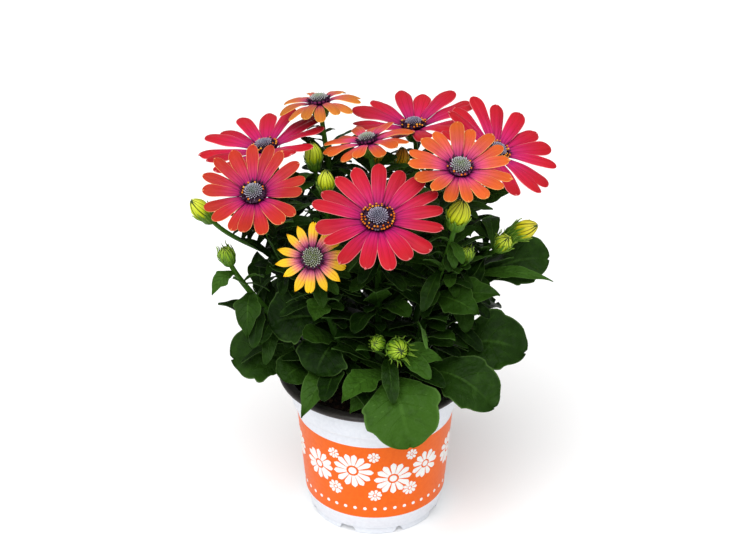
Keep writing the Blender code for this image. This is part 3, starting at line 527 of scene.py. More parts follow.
class Piece:
    """Collects the surfaces of one visible piece, with the numbers that its materials read."""

    def __init__(self):
        self.points = []
        self.faces = []
        self.slots = []
        self.marks = {"along": [], "across": [], "shade": []}
        self.count = 0

    def add(self, points, faces, slots, marks):
        """A grid of points, faces of their indices, a slot for each face and the marks of the points."""
        for name, kept in self.marks.items():
            kept.append(np.broadcast_to(marks.get(name, 0.0), points.shape[:-1]).ravel())
        points = points.reshape(-1, 3)
        self.points.append(points)
        self.faces += [[corner + self.count for corner in face] for face in faces]
        self.slots += slots
        self.count += len(points)

    def sheet(self, top, bottom, slots=(0, 1), **marks):
        """A thin closed blade between two grids of points; the rim takes the upper side's slot."""
        rows, columns = top.shape[:2]
        index = np.arange(rows * columns).reshape(rows, columns)
        quads = np.stack([index[:-1, :-1], index[:-1, 1:], index[1:, 1:], index[1:, :-1]], -1).reshape(-1, 4)
        rim = np.concatenate([index[0, :-1], index[:-1, -1], index[-1, :0:-1], index[:0:-1, 0]])
        after = np.roll(rim, -1)
        low = rows * columns
        sides = np.stack([rim, rim + low, after + low, after], -1)
        faces = quads.tolist() + (quads[:, ::-1] + low).tolist() + sides.tolist()
        kinds = [slots[0]] * len(quads) + [slots[1]] * len(quads) + [slots[0]] * len(sides)
        self.add(np.stack([top, bottom]), faces, kinds, marks)

    def skin(self, rings, slot=0, **marks):
        """A closed skin through rings of points, with a flat face at each end."""
        rows, sides = rings.shape[:2]
        index = np.arange(rows * sides).reshape(rows, sides)
        right = np.roll(index, -1, axis=1)
        quads = np.stack([index[:-1], right[:-1], right[1:], index[1:]], -1).reshape(-1, 4)
        faces = quads.tolist() + [index[0, ::-1].tolist(), index[-1].tolist()]
        self.add(rings, faces, [slot] * len(faces), marks)

    def make(self, name, materials, node, slot, sharp=50):
        """The object, which replaces a solid and rides on the plant's one body."""
        mesh = bpy.data.meshes.new(name)
        mesh.from_pydata(np.concatenate(self.points) * MM, [], self.faces)
        for material in materials:
            mesh.materials.append(material)
        mesh.polygons.foreach_set("material_index", self.slots)
        for mark, kept in self.marks.items():
            attribute = mesh.attributes.new(mark, "FLOAT", "POINT")
            attribute.data.foreach_set("value", np.concatenate(kept).astype(np.float32))
        mesh.shade_smooth()
        mesh.set_sharp_from_angle(angle=math.radians(sharp))
        made = show(name, mesh)
        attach(made, "root")
        if node:
            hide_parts(node)


def tube(points, radii, sides, ribs=0.0):
    """Rings square to a line of points, with no twist from one to the next."""
    ahead = np.empty_like(points)
    ahead[1:-1] = points[2:] - points[:-2]
    ahead[0], ahead[-1] = points[1] - points[0], points[-1] - points[-2]
    ahead = unit(ahead)
    turns = TAU * np.arange(sides) / sides
    swell = 1 + ribs * np.cos(turns * 5)
    side = np.array((1.0, 0.0, 0.0))
    rings = []
    for point, forward, radius in zip(points, ahead, radii):
        side = unit(side - forward * side.dot(forward))
        other = np.cross(forward, side)
        around = np.cos(turns)[:, None] * side + np.sin(turns)[:, None] * other
        rings.append(point + around * (radius * swell)[:, None])
    return np.array(rings)


def turned(profile, sides):
    """Rings of (radius, height) points turned round the local Z axis, from below to above."""
    ring = spokes(TAU * np.arange(sides) / sides)
    return np.array([ring * radius + UP * height for radius, height in profile])


# Petals: the rows and columns of points, and (place along, share of the room for its width) of each kind
RAY_ROWS = 15
TIP_ROWS = 8
RAY_COLUMNS = np.array((-1, -0.93, -0.78, -0.58, -0.36, -0.17, 0, 0.17, 0.36, 0.58, 0.78, 0.93, 1.0))
RAY_SHARES = ((0.0, 1.10), (0.12, 1.32), (0.35, 1.22), (0.60, 1.03), (0.79, 0.86))
YELLOW_SHARES = ((0.0, 0.95), (0.20, 1.02), (0.42, 0.92), (0.58, 0.80), (0.72, 0.64), (0.86, 0.40),
                 (1.0, 0.05))
BLUNT_SHARES = ((0.0, 0.95), (0.20, 1.05), (0.42, 0.98), (0.58, 0.90), (0.78, 0.80), (0.92, 0.66),
                (1.0, 0.36))
TIP_START = 0.79
TIP_LENGTH = 0.23
TIP_ARC = 84


def ray_outline(colour, blunt):
    """Places along a petal and its width there as a share of the room for it."""
    if colour == "yellow":
        s = np.linspace(0, 1, RAY_ROWS + TIP_ROWS)
        return s, between(s, BLUNT_SHARES if blunt else YELLOW_SHARES)
    body = np.linspace(0, TIP_START, RAY_ROWS)
    arc = np.radians(np.linspace(0, TIP_ARC, TIP_ROWS + 1)[1:])
    s = np.concatenate([body, TIP_START + TIP_LENGTH * np.sin(arc)])
    widest = RAY_SHARES[-1][1]
    return s, np.concatenate([between(body, RAY_SHARES), widest * np.cos(arc)])


def bloom_frame(bloom):
    """The rotation and the place of a bloom's own frame."""
    return frame_across(direction(bloom.turn, bloom.rise), bloom.spin), np.array(bloom.at)


def add_ray(piece, bloom, k, rng, fine):
    """One petal. The first source of chance repeats the solid's draws, the second adds finer ones."""
    root = bloom.ring * RAY_ROOT_SHARE
    length = bloom.reach * rng.uniform(0.93, 1.03) - root
    upper = k % 2 == 0
    cup = math.tan(math.radians(bloom.cup + rng.uniform(0.3, 2.2) * (1 if upper else -1)))
    turn = TAU * (k + rng.uniform(-0.10, 0.10)) / bloom.rays
    odd_last = bloom.rays % 2 == 1 and k == bloom.rays - 1
    layer = LAYER_RISE * (2.2 if odd_last else 1.0 if upper else -1.0)
    squeeze = 0.90 if odd_last else 1.0
    blunt = fine.random() < 0.4
    s, share = ray_outline(bloom.colour, blunt)
    radius = root + length * s
    spacing = TAU * np.minimum(radius, root + length * RAY_WIDEST) / bloom.rays
    slim = squeeze * (1 + fine.uniform(-0.16, 0.06) * np.minimum(1, s * 2.5))
    half = share * slim * np.minimum(spacing, bloom.reach * 0.36) / 2
    height = RING_LEVEL + cup * length * s - bloom.droop * length * s ** 2
    height = height + layer * np.minimum(1, 0.2 + s * 5)
    c = RAY_COLUMNS[None, :]
    s = s[:, None]
    notch = fine.choice((0.0, 0.0, 0.5, 0.9)) * np.exp(-((c - fine.uniform(-0.3, 0.3)) / 0.22) ** 2)
    lobes = notch + (0.7 if blunt else 0.2) * fine.random() * np.cos(c * 7.5)
    x = radius[:, None] - lobes * np.clip((s - 0.86) / 0.14, 0, 1)
    sway = fine.uniform(-0.06, 0.06) * length * s ** 1.5
    y = -c * half[:, None] + sway
    grooves = np.exp(-((np.abs(c) - 0.36) / 0.10) ** 2) * (0.42 - 0.16 * s) * np.minimum(1, s * 6)
    camber = fine.uniform(0.12, 0.30) * half[:, None] * (1 - c ** 2) * np.minimum(1, s * 4)
    curl = fine.uniform(-0.18, 0.10) * half[:, None] * np.abs(c) ** 3 * s
    twist = y * math.tan(math.radians(fine.uniform(-10, 10))) * s
    ripple = 0.10 * half[:, None] * c * np.sin(TAU * (s * fine.uniform(0.8, 1.6) + fine.random()))
    z = height[:, None] + camber - grooves + curl + twist + ripple * np.minimum(1, s * 2)
    flat = np.stack([x, y, z], -1)
    cos, sin = math.cos(turn), math.sin(turn)
    spun = flat @ np.array(((cos, sin, 0), (-sin, cos, 0), (0, 0, 1)))
    place, at = bloom_frame(bloom)
    lift = UP * ((0.26 - 0.12 * s) * (1 - 0.7 * np.abs(c) ** 6))[..., None]
    piece.sheet((spun + lift) @ place.T + at, (spun - lift) @ place.T + at,
                along=s, across=c, shade=fine.random())


RING_SIDES = 48


def make_rays(name, bloom):
    """The petals of one bloom on the dark ring that joins them."""
    rng = random.Random(f"{SEED} {name}")
    fine = random.Random(f"{SEED} fine {name}")
    piece = Piece()
    for k in range(bloom.rays):
        add_ray(piece, bloom, k, rng, fine)
    place, at = bloom_frame(bloom)
    inner, outer = bloom.ring * 0.45, bloom.ring * 0.93
    ring = [(inner, -DISC_SINK), (outer, -DISC_SINK + 0.3), (outer, RING_LEVEL + 0.3), (inner, -CLEAR)]
    piece.skin(turned(ring, RING_SIDES) @ place.T + at, shade=0.3)
    surfaces = petal_surfaces(TINTS.get(name, bloom.colour))
    piece.make("fine_rays_" + name, surfaces, "rays_" + name, "petal_" + bloom.colour)


# Discs: the slots of their materials, and the share of each bloom's open florets with pollen
CLOSED, OPEN, POLLEN, RING = range(4)
DISC_SIDES = 40
FLORET_SIDES = 6
POLLEN_SHARES = {
    "front": 0.70, "left": 0.28, "back_left": 0.42, "back": 0.45, "far_right": 0.50, "right": 0.08,
}


def add_peg(piece, foot, axis, profile, slot=0, shade=0.0, out=0.0, sides=FLORET_SIDES):
    """A small turned body on a foot point: (radius, height) rings along its axis."""
    rings = turned(profile, sides) @ frame_across(axis).T + foot
    top = profile[-1][1]
    along = np.array([height / top for _, height in profile])[:, None]
    piece.skin(rings, slot, along=along, across=out, shade=shade)


def dome_height(share):
    """Height of the dome's surface as a share of its rise, at a share of its radius."""
    return np.sqrt(np.maximum(0, 1 - share ** 2.3))


def make_disc(name, bloom):
    """The dome of closed florets in spirals, and the rings of open ones with pollen round it."""
    rng = random.Random(f"{SEED} disc {name}")
    piece = Piece()
    edge = bloom.ring
    look = DISC_LOOKS[bloom.colour]
    dome = edge * look.dome
    low, rise = 1.2, 2.7
    ring = [(edge * 0.80, 0.2), (edge * 0.92, 0.3), (edge * 0.96, 0.8), (dome * 1.04, 1.2), (dome * 0.5, 1.3)]
    piece.skin(turned(ring, DISC_SIDES), RING)
    shares = np.linspace(1, 0.04, 12)
    wall = [(dome * share, low + (rise - 0.25) * dome_height(share)) for share in shares]
    piece.skin(turned([(dome * 0.98, 0.8)] + wall, DISC_SIDES), CLOSED, across=0.6)
    count = int(60 + 6 * edge)
    for k in range(count):
        share = math.sqrt((k + 0.5) / count)
        flat = spokes(math.radians(k * GOLDEN_TURN))
        lean = 1.05 * share ** 2
        axis = unit(flat * math.sin(lean) + UP * math.cos(lean))
        foot = flat * dome * share * 0.97 + UP * (low + (rise - 0.45) * dome_height(share * 0.97))
        wide = dome / math.sqrt(count) * 0.92
        tall = (0.85 + 0.45 * share) * rng.uniform(0.85, 1.2)
        floret = [(wide * 0.7, 0), (wide, tall * 0.4), (wide * 0.66, tall * 0.8), (wide * 0.2, tall)]
        add_peg(piece, foot, axis, floret, CLOSED, rng.random() ** 2, out=share)
    inner = (dome / edge + 1) / 2 - 0.06
    for row, (share, height) in enumerate(((inner, 1.1), (0.93, 0.8))):
        around = round(TAU * edge * share / look.step)
        for k in range(around):
            flat = spokes(TAU * (k + 0.5 * row + rng.uniform(-0.15, 0.15)) / around)
            axis = unit(flat * rng.uniform(0.25, 0.6) + UP)
            foot = flat * edge * share + UP * height
            pollen, spike = rng.random() < POLLEN_SHARES.get(name, 0.0), rng.random() < look.spikes
            tall = rng.uniform(0.6, 1.2) if pollen or spike else 0.4
            floret = [(0.36, -0.6), (0.42, tall * 0.5), (0.50, tall), (0.30, tall * 0.96)]
            add_peg(piece, foot, axis, floret, OPEN)
            top = foot + axis * tall
            if pollen:
                size = rng.uniform(0.42, 0.66)
                ball = [(size * 0.5, 0), (size, size * 0.6), (size * 0.95, size * 1.2),
                        (size * 0.4, size * 1.7)]
                add_peg(piece, top - axis * 0.1, axis, ball, POLLEN, rng.random())
            elif spike:
                lean = unit(axis + flat * rng.uniform(0.3, 1.0))
                reach = rng.uniform(0.9, 1.8)
                point = [(0.26, -0.3), (0.28, reach * 0.5), (0.20, reach * 0.85), (0.08, reach)]
                add_peg(piece, top, lean, point, OPEN)
    place, at = bloom_frame(bloom)
    piece.points = [points @ place.T + at for points in piece.points]
    piece.make("fine_disc_" + name, disc_surfaces(bloom.colour), "disc_" + name, "disc_florets")


# Buds
BUD_RAYS = 13
BUD_ROWS = 14
BUD_COLUMNS = np.array((-1.0, -0.6, -0.2, 0.2, 0.6, 1.0))
BUD_SIDES = 24


def bud_radius(bud, s):
    """Radius of a bud at a share of its height: an egg with its blunt end down."""
    return bud.radius * np.sin(math.pi * (0.19 + 0.79 * np.clip(s, 0, 1))) ** 0.75


def make_bud(name, bud):
    """A closed bud: rolled rays that lean on each other round a dark core."""
    rng = random.Random(f"{SEED} bud {name}")
    piece = Piece()
    normal = direction(bud.turn, bud.rise)
    place = frame_across(normal)
    foot = np.array(bud.at) - normal * bud.height / 2
    heights = np.linspace(0, 1, BUD_ROWS)
    core = turned([(bud_radius(bud, s) * 0.86, bud.height * s * 0.97) for s in heights], BUD_SIDES)
    piece.skin(core @ place.T + foot, 1)
    twist = rng.choice((-1, 1)) * rng.uniform(0.25, 0.55)
    for k in range(BUD_RAYS):
        reach = rng.uniform(0.88, 1.05)
        s = (heights * reach)[:, None]
        narrow = np.clip((1.08 - heights) / 0.30, 0, 1)[:, None] ** 0.6
        c = BUD_COLUMNS[None, :]
        turn = TAU * (k + rng.uniform(-0.12, 0.12)) / BUD_RAYS + twist * s
        turn = turn + c * TAU / BUD_RAYS * 0.56 * narrow
        layer = 0.35 * (k % 2)
        radius = bud_radius(bud, s) * (1.02 - 0.13 * np.abs(c) ** 2) - layer + 0.4 * np.clip(s - 0.8, 0, 1)
        grid = spokes(turn) * radius[..., None] + UP * (bud.height * s)[..., None]
        inner = grid * np.array((0.93, 0.93, 1.0))
        piece.sheet(grid @ place.T + foot, inner @ place.T + foot, (0, 0), along=s, across=c, shade=bud.ripe)
    piece.make("fine_bud_" + name, bud_surfaces(), "bud_" + name, "bud_rays")


# Leaves: the slots of the stems' materials, and the rows and columns of points of each kind of leaf
LEAF_UPPER, LEAF_UNDER, STEM_SKIN, BRACT = range(4)
LEAF_ROWS = {
    "spoon": np.concatenate([
        np.linspace(0, 0.64, 20),
        0.66 + 0.344 * np.sin(np.radians(np.linspace(3, 90, 15))),
    ]),
    "lance": np.concatenate([np.linspace(0, 0.94, 22), (0.97, 0.99, 1.0)]),
    "small": np.concatenate([np.linspace(0, 0.84, 9), (0.92, 0.97, 1.0)]),
}
HALF_COLUMNS = (0.10, 0.22, 0.40, 0.60, 0.80, 0.95, 1.0)
SMALL_HALF_COLUMNS = (0.14, 0.50, 0.90, 1.0)
LEAF_BEND_AT = 0.48

# The outline of each kind: the share of its width at the base, where and over what length it widens and
# how sharply, where and over what length it closes and how bluntly, and then the teeth of its margin: how
# many there are on each side, how deep they are and where they start.
Blade = namedtuple("Blade", "foot widen spread power close end blunt teeth depth bare")
BLADES = {
    "spoon": Blade(0.10, 0.12, 0.46, 1.3, 0.60, 0.405, 2.3, 4.2, 0.13, 0.30),
    "lance": Blade(0.16, 0.0, 0.50, 1.1, 0.52, 0.48, 1.4, 2.8, 0.24, 0.15),
    "small": Blade(0.18, 0.0, 0.56, 1.2, 0.56, 0.445, 2.0, 3.1, 0.20, 0.25),
}


def tooth(turns):
    """A margin that swells towards the tip and drops back behind each tooth, from 0 to 1."""
    share = np.mod(turns, 1.0)
    return np.where(share < 0.80, share / 0.80, (1 - share) / 0.20)


def blade_half_width(kind, s, side):
    """Half width of a leaf as a share of its widest, at s along it; the two sides are toothed apart."""
    blade = BLADES[kind]
    base = blade.foot + (1 - blade.foot) * np.clip((s - blade.widen) / blade.spread, 0, 1) ** blade.power
    end = 1 - np.clip((s - blade.close) / blade.end, 0, 1) ** blade.blunt
    end = np.maximum(0.015, end) if kind == "lance" else np.sqrt(np.maximum(0.0016, end))
    teeth = tooth(s * blade.teeth + (0.5 if side > 0 else 0)) - 0.5
    teeth = blade.depth * teeth * np.clip((s - blade.bare) / 0.2, 0, 1)
    return base * end * (1 + teeth) / 2


def leaf_bend(base, tip, arch, face):
    """The point that pulls a leaf's midrib up out of the straight line from its base to its tip."""
    chord = tip - base
    return base + chord * LEAF_BEND_AT + (UP * 0.8 + face * 0.4) * (arch * np.linalg.norm(chord))


def midrib(base, bend, tip, s):
    """Points along the middle of a leaf."""
    return base * (1 - s) ** 2 + bend * (2 * s * (1 - s)) + tip * s ** 2


def add_leaf(piece, base, tip, width, arch, face, kind, rng, tone):
    """A leaf with a midrib, veins, teeth and a waved margin, on the solid leaf's own midrib."""
    bend = leaf_bend(base, tip, arch, face)
    across = unit(np.cross(tip - base, face))
    s = LEAF_ROWS[kind]
    columns = SMALL_HALF_COLUMNS if kind == "small" else HALF_COLUMNS
    c = np.array([-place for place in columns[::-1]] + [0.0] + list(columns))[None, :]
    left, right = (blade_half_width(kind, s, side)[:, None] for side in (-1, 1))
    half = np.where(c < 0, left, right) * width
    s = s[:, None]
    middle = midrib(base, bend, tip, s)
    along = unit((bend - base) * (1 - s) + (tip - bend) * s)
    side = unit(across - along * (along @ across)[:, None])
    normal = np.cross(side, along)
    out = np.abs(c)
    lift = width * (0.07 if kind == "spoon" else 0.05) * np.minimum(1, s * 2) * out ** 1.3
    beat, start = rng.uniform(1.6, 2.6), rng.random()
    wave = np.sin(TAU * (s * beat + start + np.where(c < 0, 0.0, 0.37)))
    lift = lift + wave * half * out ** 2 * rng.uniform(0.05, 0.12)
    veins = np.cos(TAU * (s * LEAF_VEINS - out * VEIN_SLANT))
    veins = veins * out * (1 - out) * np.minimum(1, s * 3) * np.minimum(1, (1 - s) * 5)
    lift = lift + width * 0.040 * veins
    lift = lift - width * 0.020 * np.exp(-(out / 0.09) ** 2) * (1 - 0.6 * s)
    grid = middle[:, None] + side[:, None] * (c * half)[..., None] + normal[:, None] * lift[..., None]
    rib = np.exp(-(out / 0.10) ** 2) * (1.0 - 0.85 * s) * min(1.0, width / 16)
    thick = 0.16 + 0.16 * (1 - out ** 4) + rib
    # the leaf's tone, random round the given tone, which carries the painted light of its stem and, for
    # leaves by rule and further leaves, the painted shade of its height
    piece.sheet(grid + normal[:, None] * 0.12, grid + normal[:, None] * (0.12 - thick)[..., None],
                (LEAF_UPPER, LEAF_UNDER), along=s, across=c,
                shade=min(1.0, max(0.0, tone + rng.uniform(-0.18, 0.24))))


def head_places():
    """Where each head's cup ends, its facing, and the cup's depth, radius and spread of bracts."""
    heads = {}
    for name, bloom in BLOOMS.items():
        normal = direction(bloom.turn, bloom.rise)
        edge = np.array(bloom.at) - normal * (DISC_SINK + CLEAR + 0.2)
        heads["bloom " + name] = Head(edge, normal, CALYX_DEPTH, bloom.ring * 0.82, 1.15)
    for name, bud in BUDS.items():
        normal = direction(bud.turn, bud.rise)
        edge = np.array(bud.at) - normal * (bud.height / 2 + CLEAR)
        heads["bud " + name] = Head(edge, normal, bud.height * 0.36, bud.radius * 0.84, 1.2)
    return heads


def shoot_curve(stem, shoot, heads, main):
    """Control points of a shoot from the soil, or from the main shoot, to the neck of its head."""
    head = heads[shoot.head]
    end = head.edge - head.normal * head.depth
    if main is None:
        start = np.array((*stem.root, SOIL_TOP + 1))
        lean = np.array((end[0] - start[0], end[1] - start[1], 0)) * 0.22
        low = start + lean + UP * (end[2] - start[2]) * 0.42
        return [start, low, end - head.normal * shoot.neck, end]
    start = bezier(main, shoot.joins)
    ahead = unit(bezier(main, shoot.joins + 0.05) - start)
    far = np.linalg.norm(end - start)
    return [start, start + ahead * far * 0.30, end - head.normal * min(shoot.neck, far * 0.5), end]


# Bracts and cups
BRACT_ROWS = np.linspace(0, 1, 9)
BRACT_COLUMNS = np.array((-1.0, -0.4, 0.4, 1.0))
BRACTS_AROUND = 9
CUP_SIDES = 20
SHOOT_SIDES = 12


def add_bract(piece, foot, place, turn, path, width, rng):
    """A pointed bract along (radius, height) points of the head's own frame."""
    s = BRACT_ROWS[:, None]
    c = BRACT_COLUMNS[None, :]
    steps = np.linspace(0, 1, len(path))
    radius = np.interp(s, steps, [p[0] for p in path])
    height = np.interp(s, steps, [p[1] for p in path])
    half = width / 2 * np.clip((1.03 - s) / 0.85, 0, 1) ** 0.8
    sway = rng.uniform(-0.18, 0.18) * s ** 2
    angle = turn + c * half / np.maximum(radius, width) + sway
    curve = radius + 0.10 * width * (1 - c ** 2)
    grid = spokes(angle) * curve[..., None] + UP * height[..., None]
    inner = grid - 0.28 * unit(grid * np.array((1.0, 1.0, 0.0)))
    piece.sheet(grid @ place.T + foot, inner @ place.T + foot, (BRACT, BRACT),
                along=s, across=c, shade=rng.random())


def cup_path(depth, cup, ring):
    """The line of a bract on the cup of an open bloom."""
    if ring:
        return [(cup * 0.80, depth * 0.25), (cup * 1.00, depth * 0.65), (cup * 1.10, depth * 0.98),
                (cup * 1.22, depth * 1.16)]
    return [(cup * 0.70, depth * 0.15), (cup * 0.98, depth * 0.55), (cup * 1.12, depth * 0.92),
            (cup * 1.42, depth * 1.12)]


def bud_path(depth, cup, ring, bud):
    """The line of a bract that lies on a bud, with its tip spread."""
    path = [(cup * 0.60, depth * 0.12), (cup * 0.98, depth * 0.60)]
    reach = bud.wrap * (1.0 if ring else 0.72)
    for t in np.linspace(0.1, 1, 6):
        closed = bud_radius(bud, reach * t) * 1.04 + 0.35 - 0.15 * ring
        wide = bud.radius * (0.95 + 0.55 * t)
        path.append((closed + (wide - closed) * bud.flare * t ** 2, depth + bud.height * reach * t))
    return path


def add_cup(piece, name, head, foot, rng):
    """The green cup under a head with its two rings of bracts."""
    place = frame_across(head.normal)
    depth, cup = head.depth, head.cup
    neck = STEM_NECK_RADIUS
    profile = [(neck * 0.9, -depth * 0.3), (neck, -depth * 0.1), (neck * 1.3, 0), (cup * 0.55, depth * 0.12),
               (cup * 0.80, depth * 0.28), (cup * 0.91, depth * 0.52), (cup * 0.96, depth * 0.80),
               (cup * 0.90, depth * 0.90), (cup * 0.70, depth * 0.82), (cup * 0.1, depth * 0.70)]
    piece.skin(turned(profile, CUP_SIDES) @ place.T + foot, STEM_SKIN, along=1.0)
    kind, _, key = name.partition(" ")
    for ring in (0, 1):
        path = cup_path(depth, cup, ring) if kind == "bloom" else bud_path(depth, cup, ring, BUDS[key])
        for k in range(BRACTS_AROUND):
            turn = TAU * (k + 0.5 * ring + rng.uniform(-0.1, 0.1)) / BRACTS_AROUND
            reach = rng.uniform(0.88, 1.08)
            own = [(radius, height * (1 + (reach - 1) * step / len(path)))
                   for step, (radius, height) in enumerate(path)]
            add_bract(piece, foot, place, turn, own, cup * (0.62 if kind == "bloom" else 0.50), rng)


def add_shoot(piece, curve, is_main, head_name, head, rng):
    """The stem or branch along its curve with the cup at its end."""
    t = np.linspace(0, 1, 44 if is_main else 24)
    points = bezier(curve, t)
    first, last = (STEM_FOOT_RADIUS, STEM_NECK_RADIUS) if is_main else (BRANCH_RADIUS, BRANCH_RADIUS)
    radii = first + (last - first) * t
    if is_main:
        points = np.concatenate([points[:1] - UP * (HOLE_DEPTH + 1), points])
        radii = np.concatenate([[STEM_FOOT_RADIUS], radii])
        t = np.concatenate([[0.0], t])
    piece.skin(tube(points, radii, SHOOT_SIDES, 0.07), STEM_SKIN, along=t[:, None])
    add_cup(piece, head_name, head, points[-1], rng)


def rule_leaf(base, step, share, size, rng):
    """Tip, width and face of a leaf that the solids place by rule."""
    turn = step * RULE_TURN
    length = (LEAF_LENGTH_LOW - LEAF_LENGTH_FALL * share) * size * rng.uniform(0.9, 1.1)
    tip = base + direction(turn, 18 + 22 * share) * length
    face = unit(UP + direction(turn, 0) * 0.35)
    return tip, length * (LEAF_WIDTH_LOW - LEAF_WIDTH_FALL * share), face


TIP_MATCH = 0.45


def corners_of(node):
    """A tree of the corners of a solid, in millimetres."""
    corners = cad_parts[node].data.vertices
    tree = KDTree(len(corners))
    for k, corner in enumerate(corners):
        tree.insert(corner.co / MM, k)
    tree.balance()
    return tree


def kept_rule_leaves(name, stem, curve):
    """The leaves placed by rule that the solid has: it kept the first clear one of each leaf's trials."""
    corners = corners_of("stem_" + name)
    rng = random.Random(f"{SEED} stem {name}")
    count, low, high = stem.rule
    first = rng.randrange(100)
    for k in range(count):
        share = low + (high - low) * (k + 0.5) / count
        base = bezier(curve, share)
        for trial in range(LEAF_TRIALS):
            step = first + k + trial * TRIAL_TURN
            tip, width, face = rule_leaf(base, step, share, 1 - TRIAL_SHRINK * trial, rng)
            if corners.find(tip)[2] < TIP_MATCH:
                yield base, tip, width, face
                break


# Further leaves: how many each stem tries, the heights that their tips keep between, how far out they
# reach below and above a height, and the places along a leaf where it is tested.
EXTRA_LEAVES = {"bud_side": 14, "bud_low": 24, "back": 72, "far_right": 72, "top": 60, "bud_back": 60,
                "bud_front": 64, "left": 60}
USUAL_EXTRA_LEAVES = 46
EXTRA_TRIALS = 20
EXTRA_TEST = np.array((0.16, 0.40, 0.62, 0.84, 1.0))
EXTRA_LENGTH_LOW = 43
EXTRA_LENGTH_FALL = 27
EXTRA_HEIGHTS = (93, 212)
EXTRA_REACH_LOW = 84
EXTRA_REACH_HIGH = 64
EXTRA_REACH_CHANGE = 140
LEAFY_HEIGHT = 130


class Thicket:
    """The solids and the leaves already added, to keep further leaves clear of them."""

    def __init__(self):
        self.trees = [self.tree_of(node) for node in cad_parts.values()]

    @staticmethod
    def tree_of(node):
        points = [corner.co / MM for corner in node.data.vertices]
        return BVHTree.FromPolygons(points, [tuple(face.vertices) for face in node.data.polygons])

    @staticmethod
    def test_blade(base, tip, width, arch, face):
        """A coarse blade a little larger than the leaf, from just off its stem to its tip."""
        bend = leaf_bend(base, tip, arch, face)
        side = unit(np.cross(tip - base, face))
        points = []
        for s in EXTRA_TEST:
            middle = midrib(base, bend, tip, s)
            half = blade_half_width("small", np.array(s), 1) * width * 1.05 + 0.2
            for lift in (-0.5, 0.5):
                points += [middle - side * half + UP * lift, middle + side * half + UP * lift]
        faces = []
        for k in range(len(EXTRA_TEST) - 1):
            a = 4 * k
            faces += [(a, a + 1, a + 5, a + 4), (a + 2, a + 3, a + 7, a + 6), (a, a + 3, a + 7, a + 4),
                      (a + 2, a + 1, a + 5, a + 6)]
        return BVHTree.FromPolygons([Vector(point) for point in points], faces)

    def take(self, blade):
        """True, and the blade is kept, if it is clear of all before it."""
        if any(tree.overlap(blade) for tree in self.trees):
            return False
        self.trees.append(blade)
        return True


def extra_leaves(name, curves, thicket):
    """More leaves, smaller than the solid's, where there is room between them."""
    rng = random.Random(f"{SEED} extra {name}")
    for k in range(EXTRA_LEAVES.get(name, USUAL_EXTRA_LEAVES)):
        for trial in range(EXTRA_TRIALS):
            curve = curves[0] if len(curves) == 1 or rng.random() < 0.62 else curves[1]
            share = 0.04 + 0.91 * rng.random() ** 1.4
            base = bezier(curve, share)
            height = (base[2] - SOIL_TOP) / LEAFY_HEIGHT
            length = (EXTRA_LENGTH_LOW - EXTRA_LENGTH_FALL * height) * rng.uniform(0.75, 1.2)
            length = length * (1 - TRIAL_SHRINK * trial)
            turn = rng.uniform(0, 360)
            tip = base + direction(turn, rng.uniform(-28, 32)) * length
            width = length * rng.uniform(0.29, 0.40)
            face = unit(UP + direction(turn + rng.uniform(-60, 60), 0) * rng.uniform(0.2, 0.6))
            arch = rng.uniform(0.14, 0.34)
            reach = EXTRA_REACH_LOW if tip[2] < EXTRA_REACH_CHANGE else EXTRA_REACH_HIGH
            if math.hypot(tip[0], tip[1]) > reach or not EXTRA_HEIGHTS[0] < tip[2] < EXTRA_HEIGHTS[1]:
                continue
            if thicket.take(thicket.test_blade(base, tip, width, arch, face)):
                yield base, tip, width, arch, face
                break


# How bright a leaf is, from 0 to 1: the chosen leaves by kind, and painted light added to every leaf of the
# listed stems at the front and sides, which stand out in the light.
CHOSEN_TONES = {"spoon": 0.42, "lance": 0.74}
PAINTED_LIGHT_STEMS = {"bud_side": 0.10, "bud_low": 0.34, "bud_front": 0.12, "yellow": 0.08}


def height_painted_shade(base):
    """Painted light and shade: leaves near the compost, deep in the foliage, get darker tones for the shade
    there and higher ones brighter tones for the light.
    """
    return 0.34 + 0.34 * (base[2] - SOIL_TOP) / LEAFY_HEIGHT


def make_stem(name, stem, heads, thicket, materials):
    """One leafy stem: its shoots and cups, chosen leaves, leaves by rule and further small leaves."""
    piece = Piece()
    rng = random.Random(f"{SEED} fine stem {name}")
    # painted light: brighter tones for every leaf of the listed stems at the front and sides
    stem_light = PAINTED_LIGHT_STEMS.get(name, 0.0)
    curves = []
    for index, shoot in enumerate(stem.shoots):
        curves.append(shoot_curve(stem, shoot, heads, curves[0] if index else None))
        add_shoot(piece, curves[-1], index == 0, shoot.head, heads[shoot.head], rng)
    for leaf in stem.leaves:
        base = bezier(curves[0], leaf.at)
        add_leaf(piece, base, np.array(leaf.tip, float), leaf.width, leaf.arch,
                 direction(leaf.turn, leaf.rise), leaf.kind, rng, stem_light + CHOSEN_TONES[leaf.kind])
    # painted light and shade by height on the leaves by rule and the further leaves
    for base, tip, width, face in kept_rule_leaves(name, stem, curves[0]):
        add_leaf(piece, base, tip, width, LEAF_ARCH, face, "lance", rng, stem_light + height_painted_shade(base))
    for base, tip, width, arch, face in extra_leaves(name, curves, thicket):
        add_leaf(piece, base, tip, width, arch, face, "small", rng, stem_light + height_painted_shade(base))
    piece.make("fine_stem_" + name, materials, "stem_" + name, "leaf_green")


# Pot and compost: the slots of the pot's materials, the points round it and the slopes beside its feet
WHITE, BAND, DARK = range(3)
POT_TURNS = 168
FOOT_SLOPE = 1.3
FOOT_CLEAR = 0.7


def gap_angles():
    """The middle of each gap between two feet, and half its width, both as angles."""
    for k in range(QUARTERS):
        for offset, width in FOOT_GAPS:
            yield math.radians(360 / QUARTERS * k - 90 + offset), width / 2 / BASE_RADIUS


def pot_turns():
    """Angles round the pot, closer together at the sloped ends of its feet."""
    turns = list(TAU * np.arange(POT_TURNS) / POT_TURNS)
    for middle, half in gap_angles():
        for step in np.linspace(-1, 1, 5) * FOOT_SLOPE / BASE_RADIUS:
            turns += [middle - half + step, middle + half + step]
    return np.unique(np.round(np.mod(turns, TAU), 5))


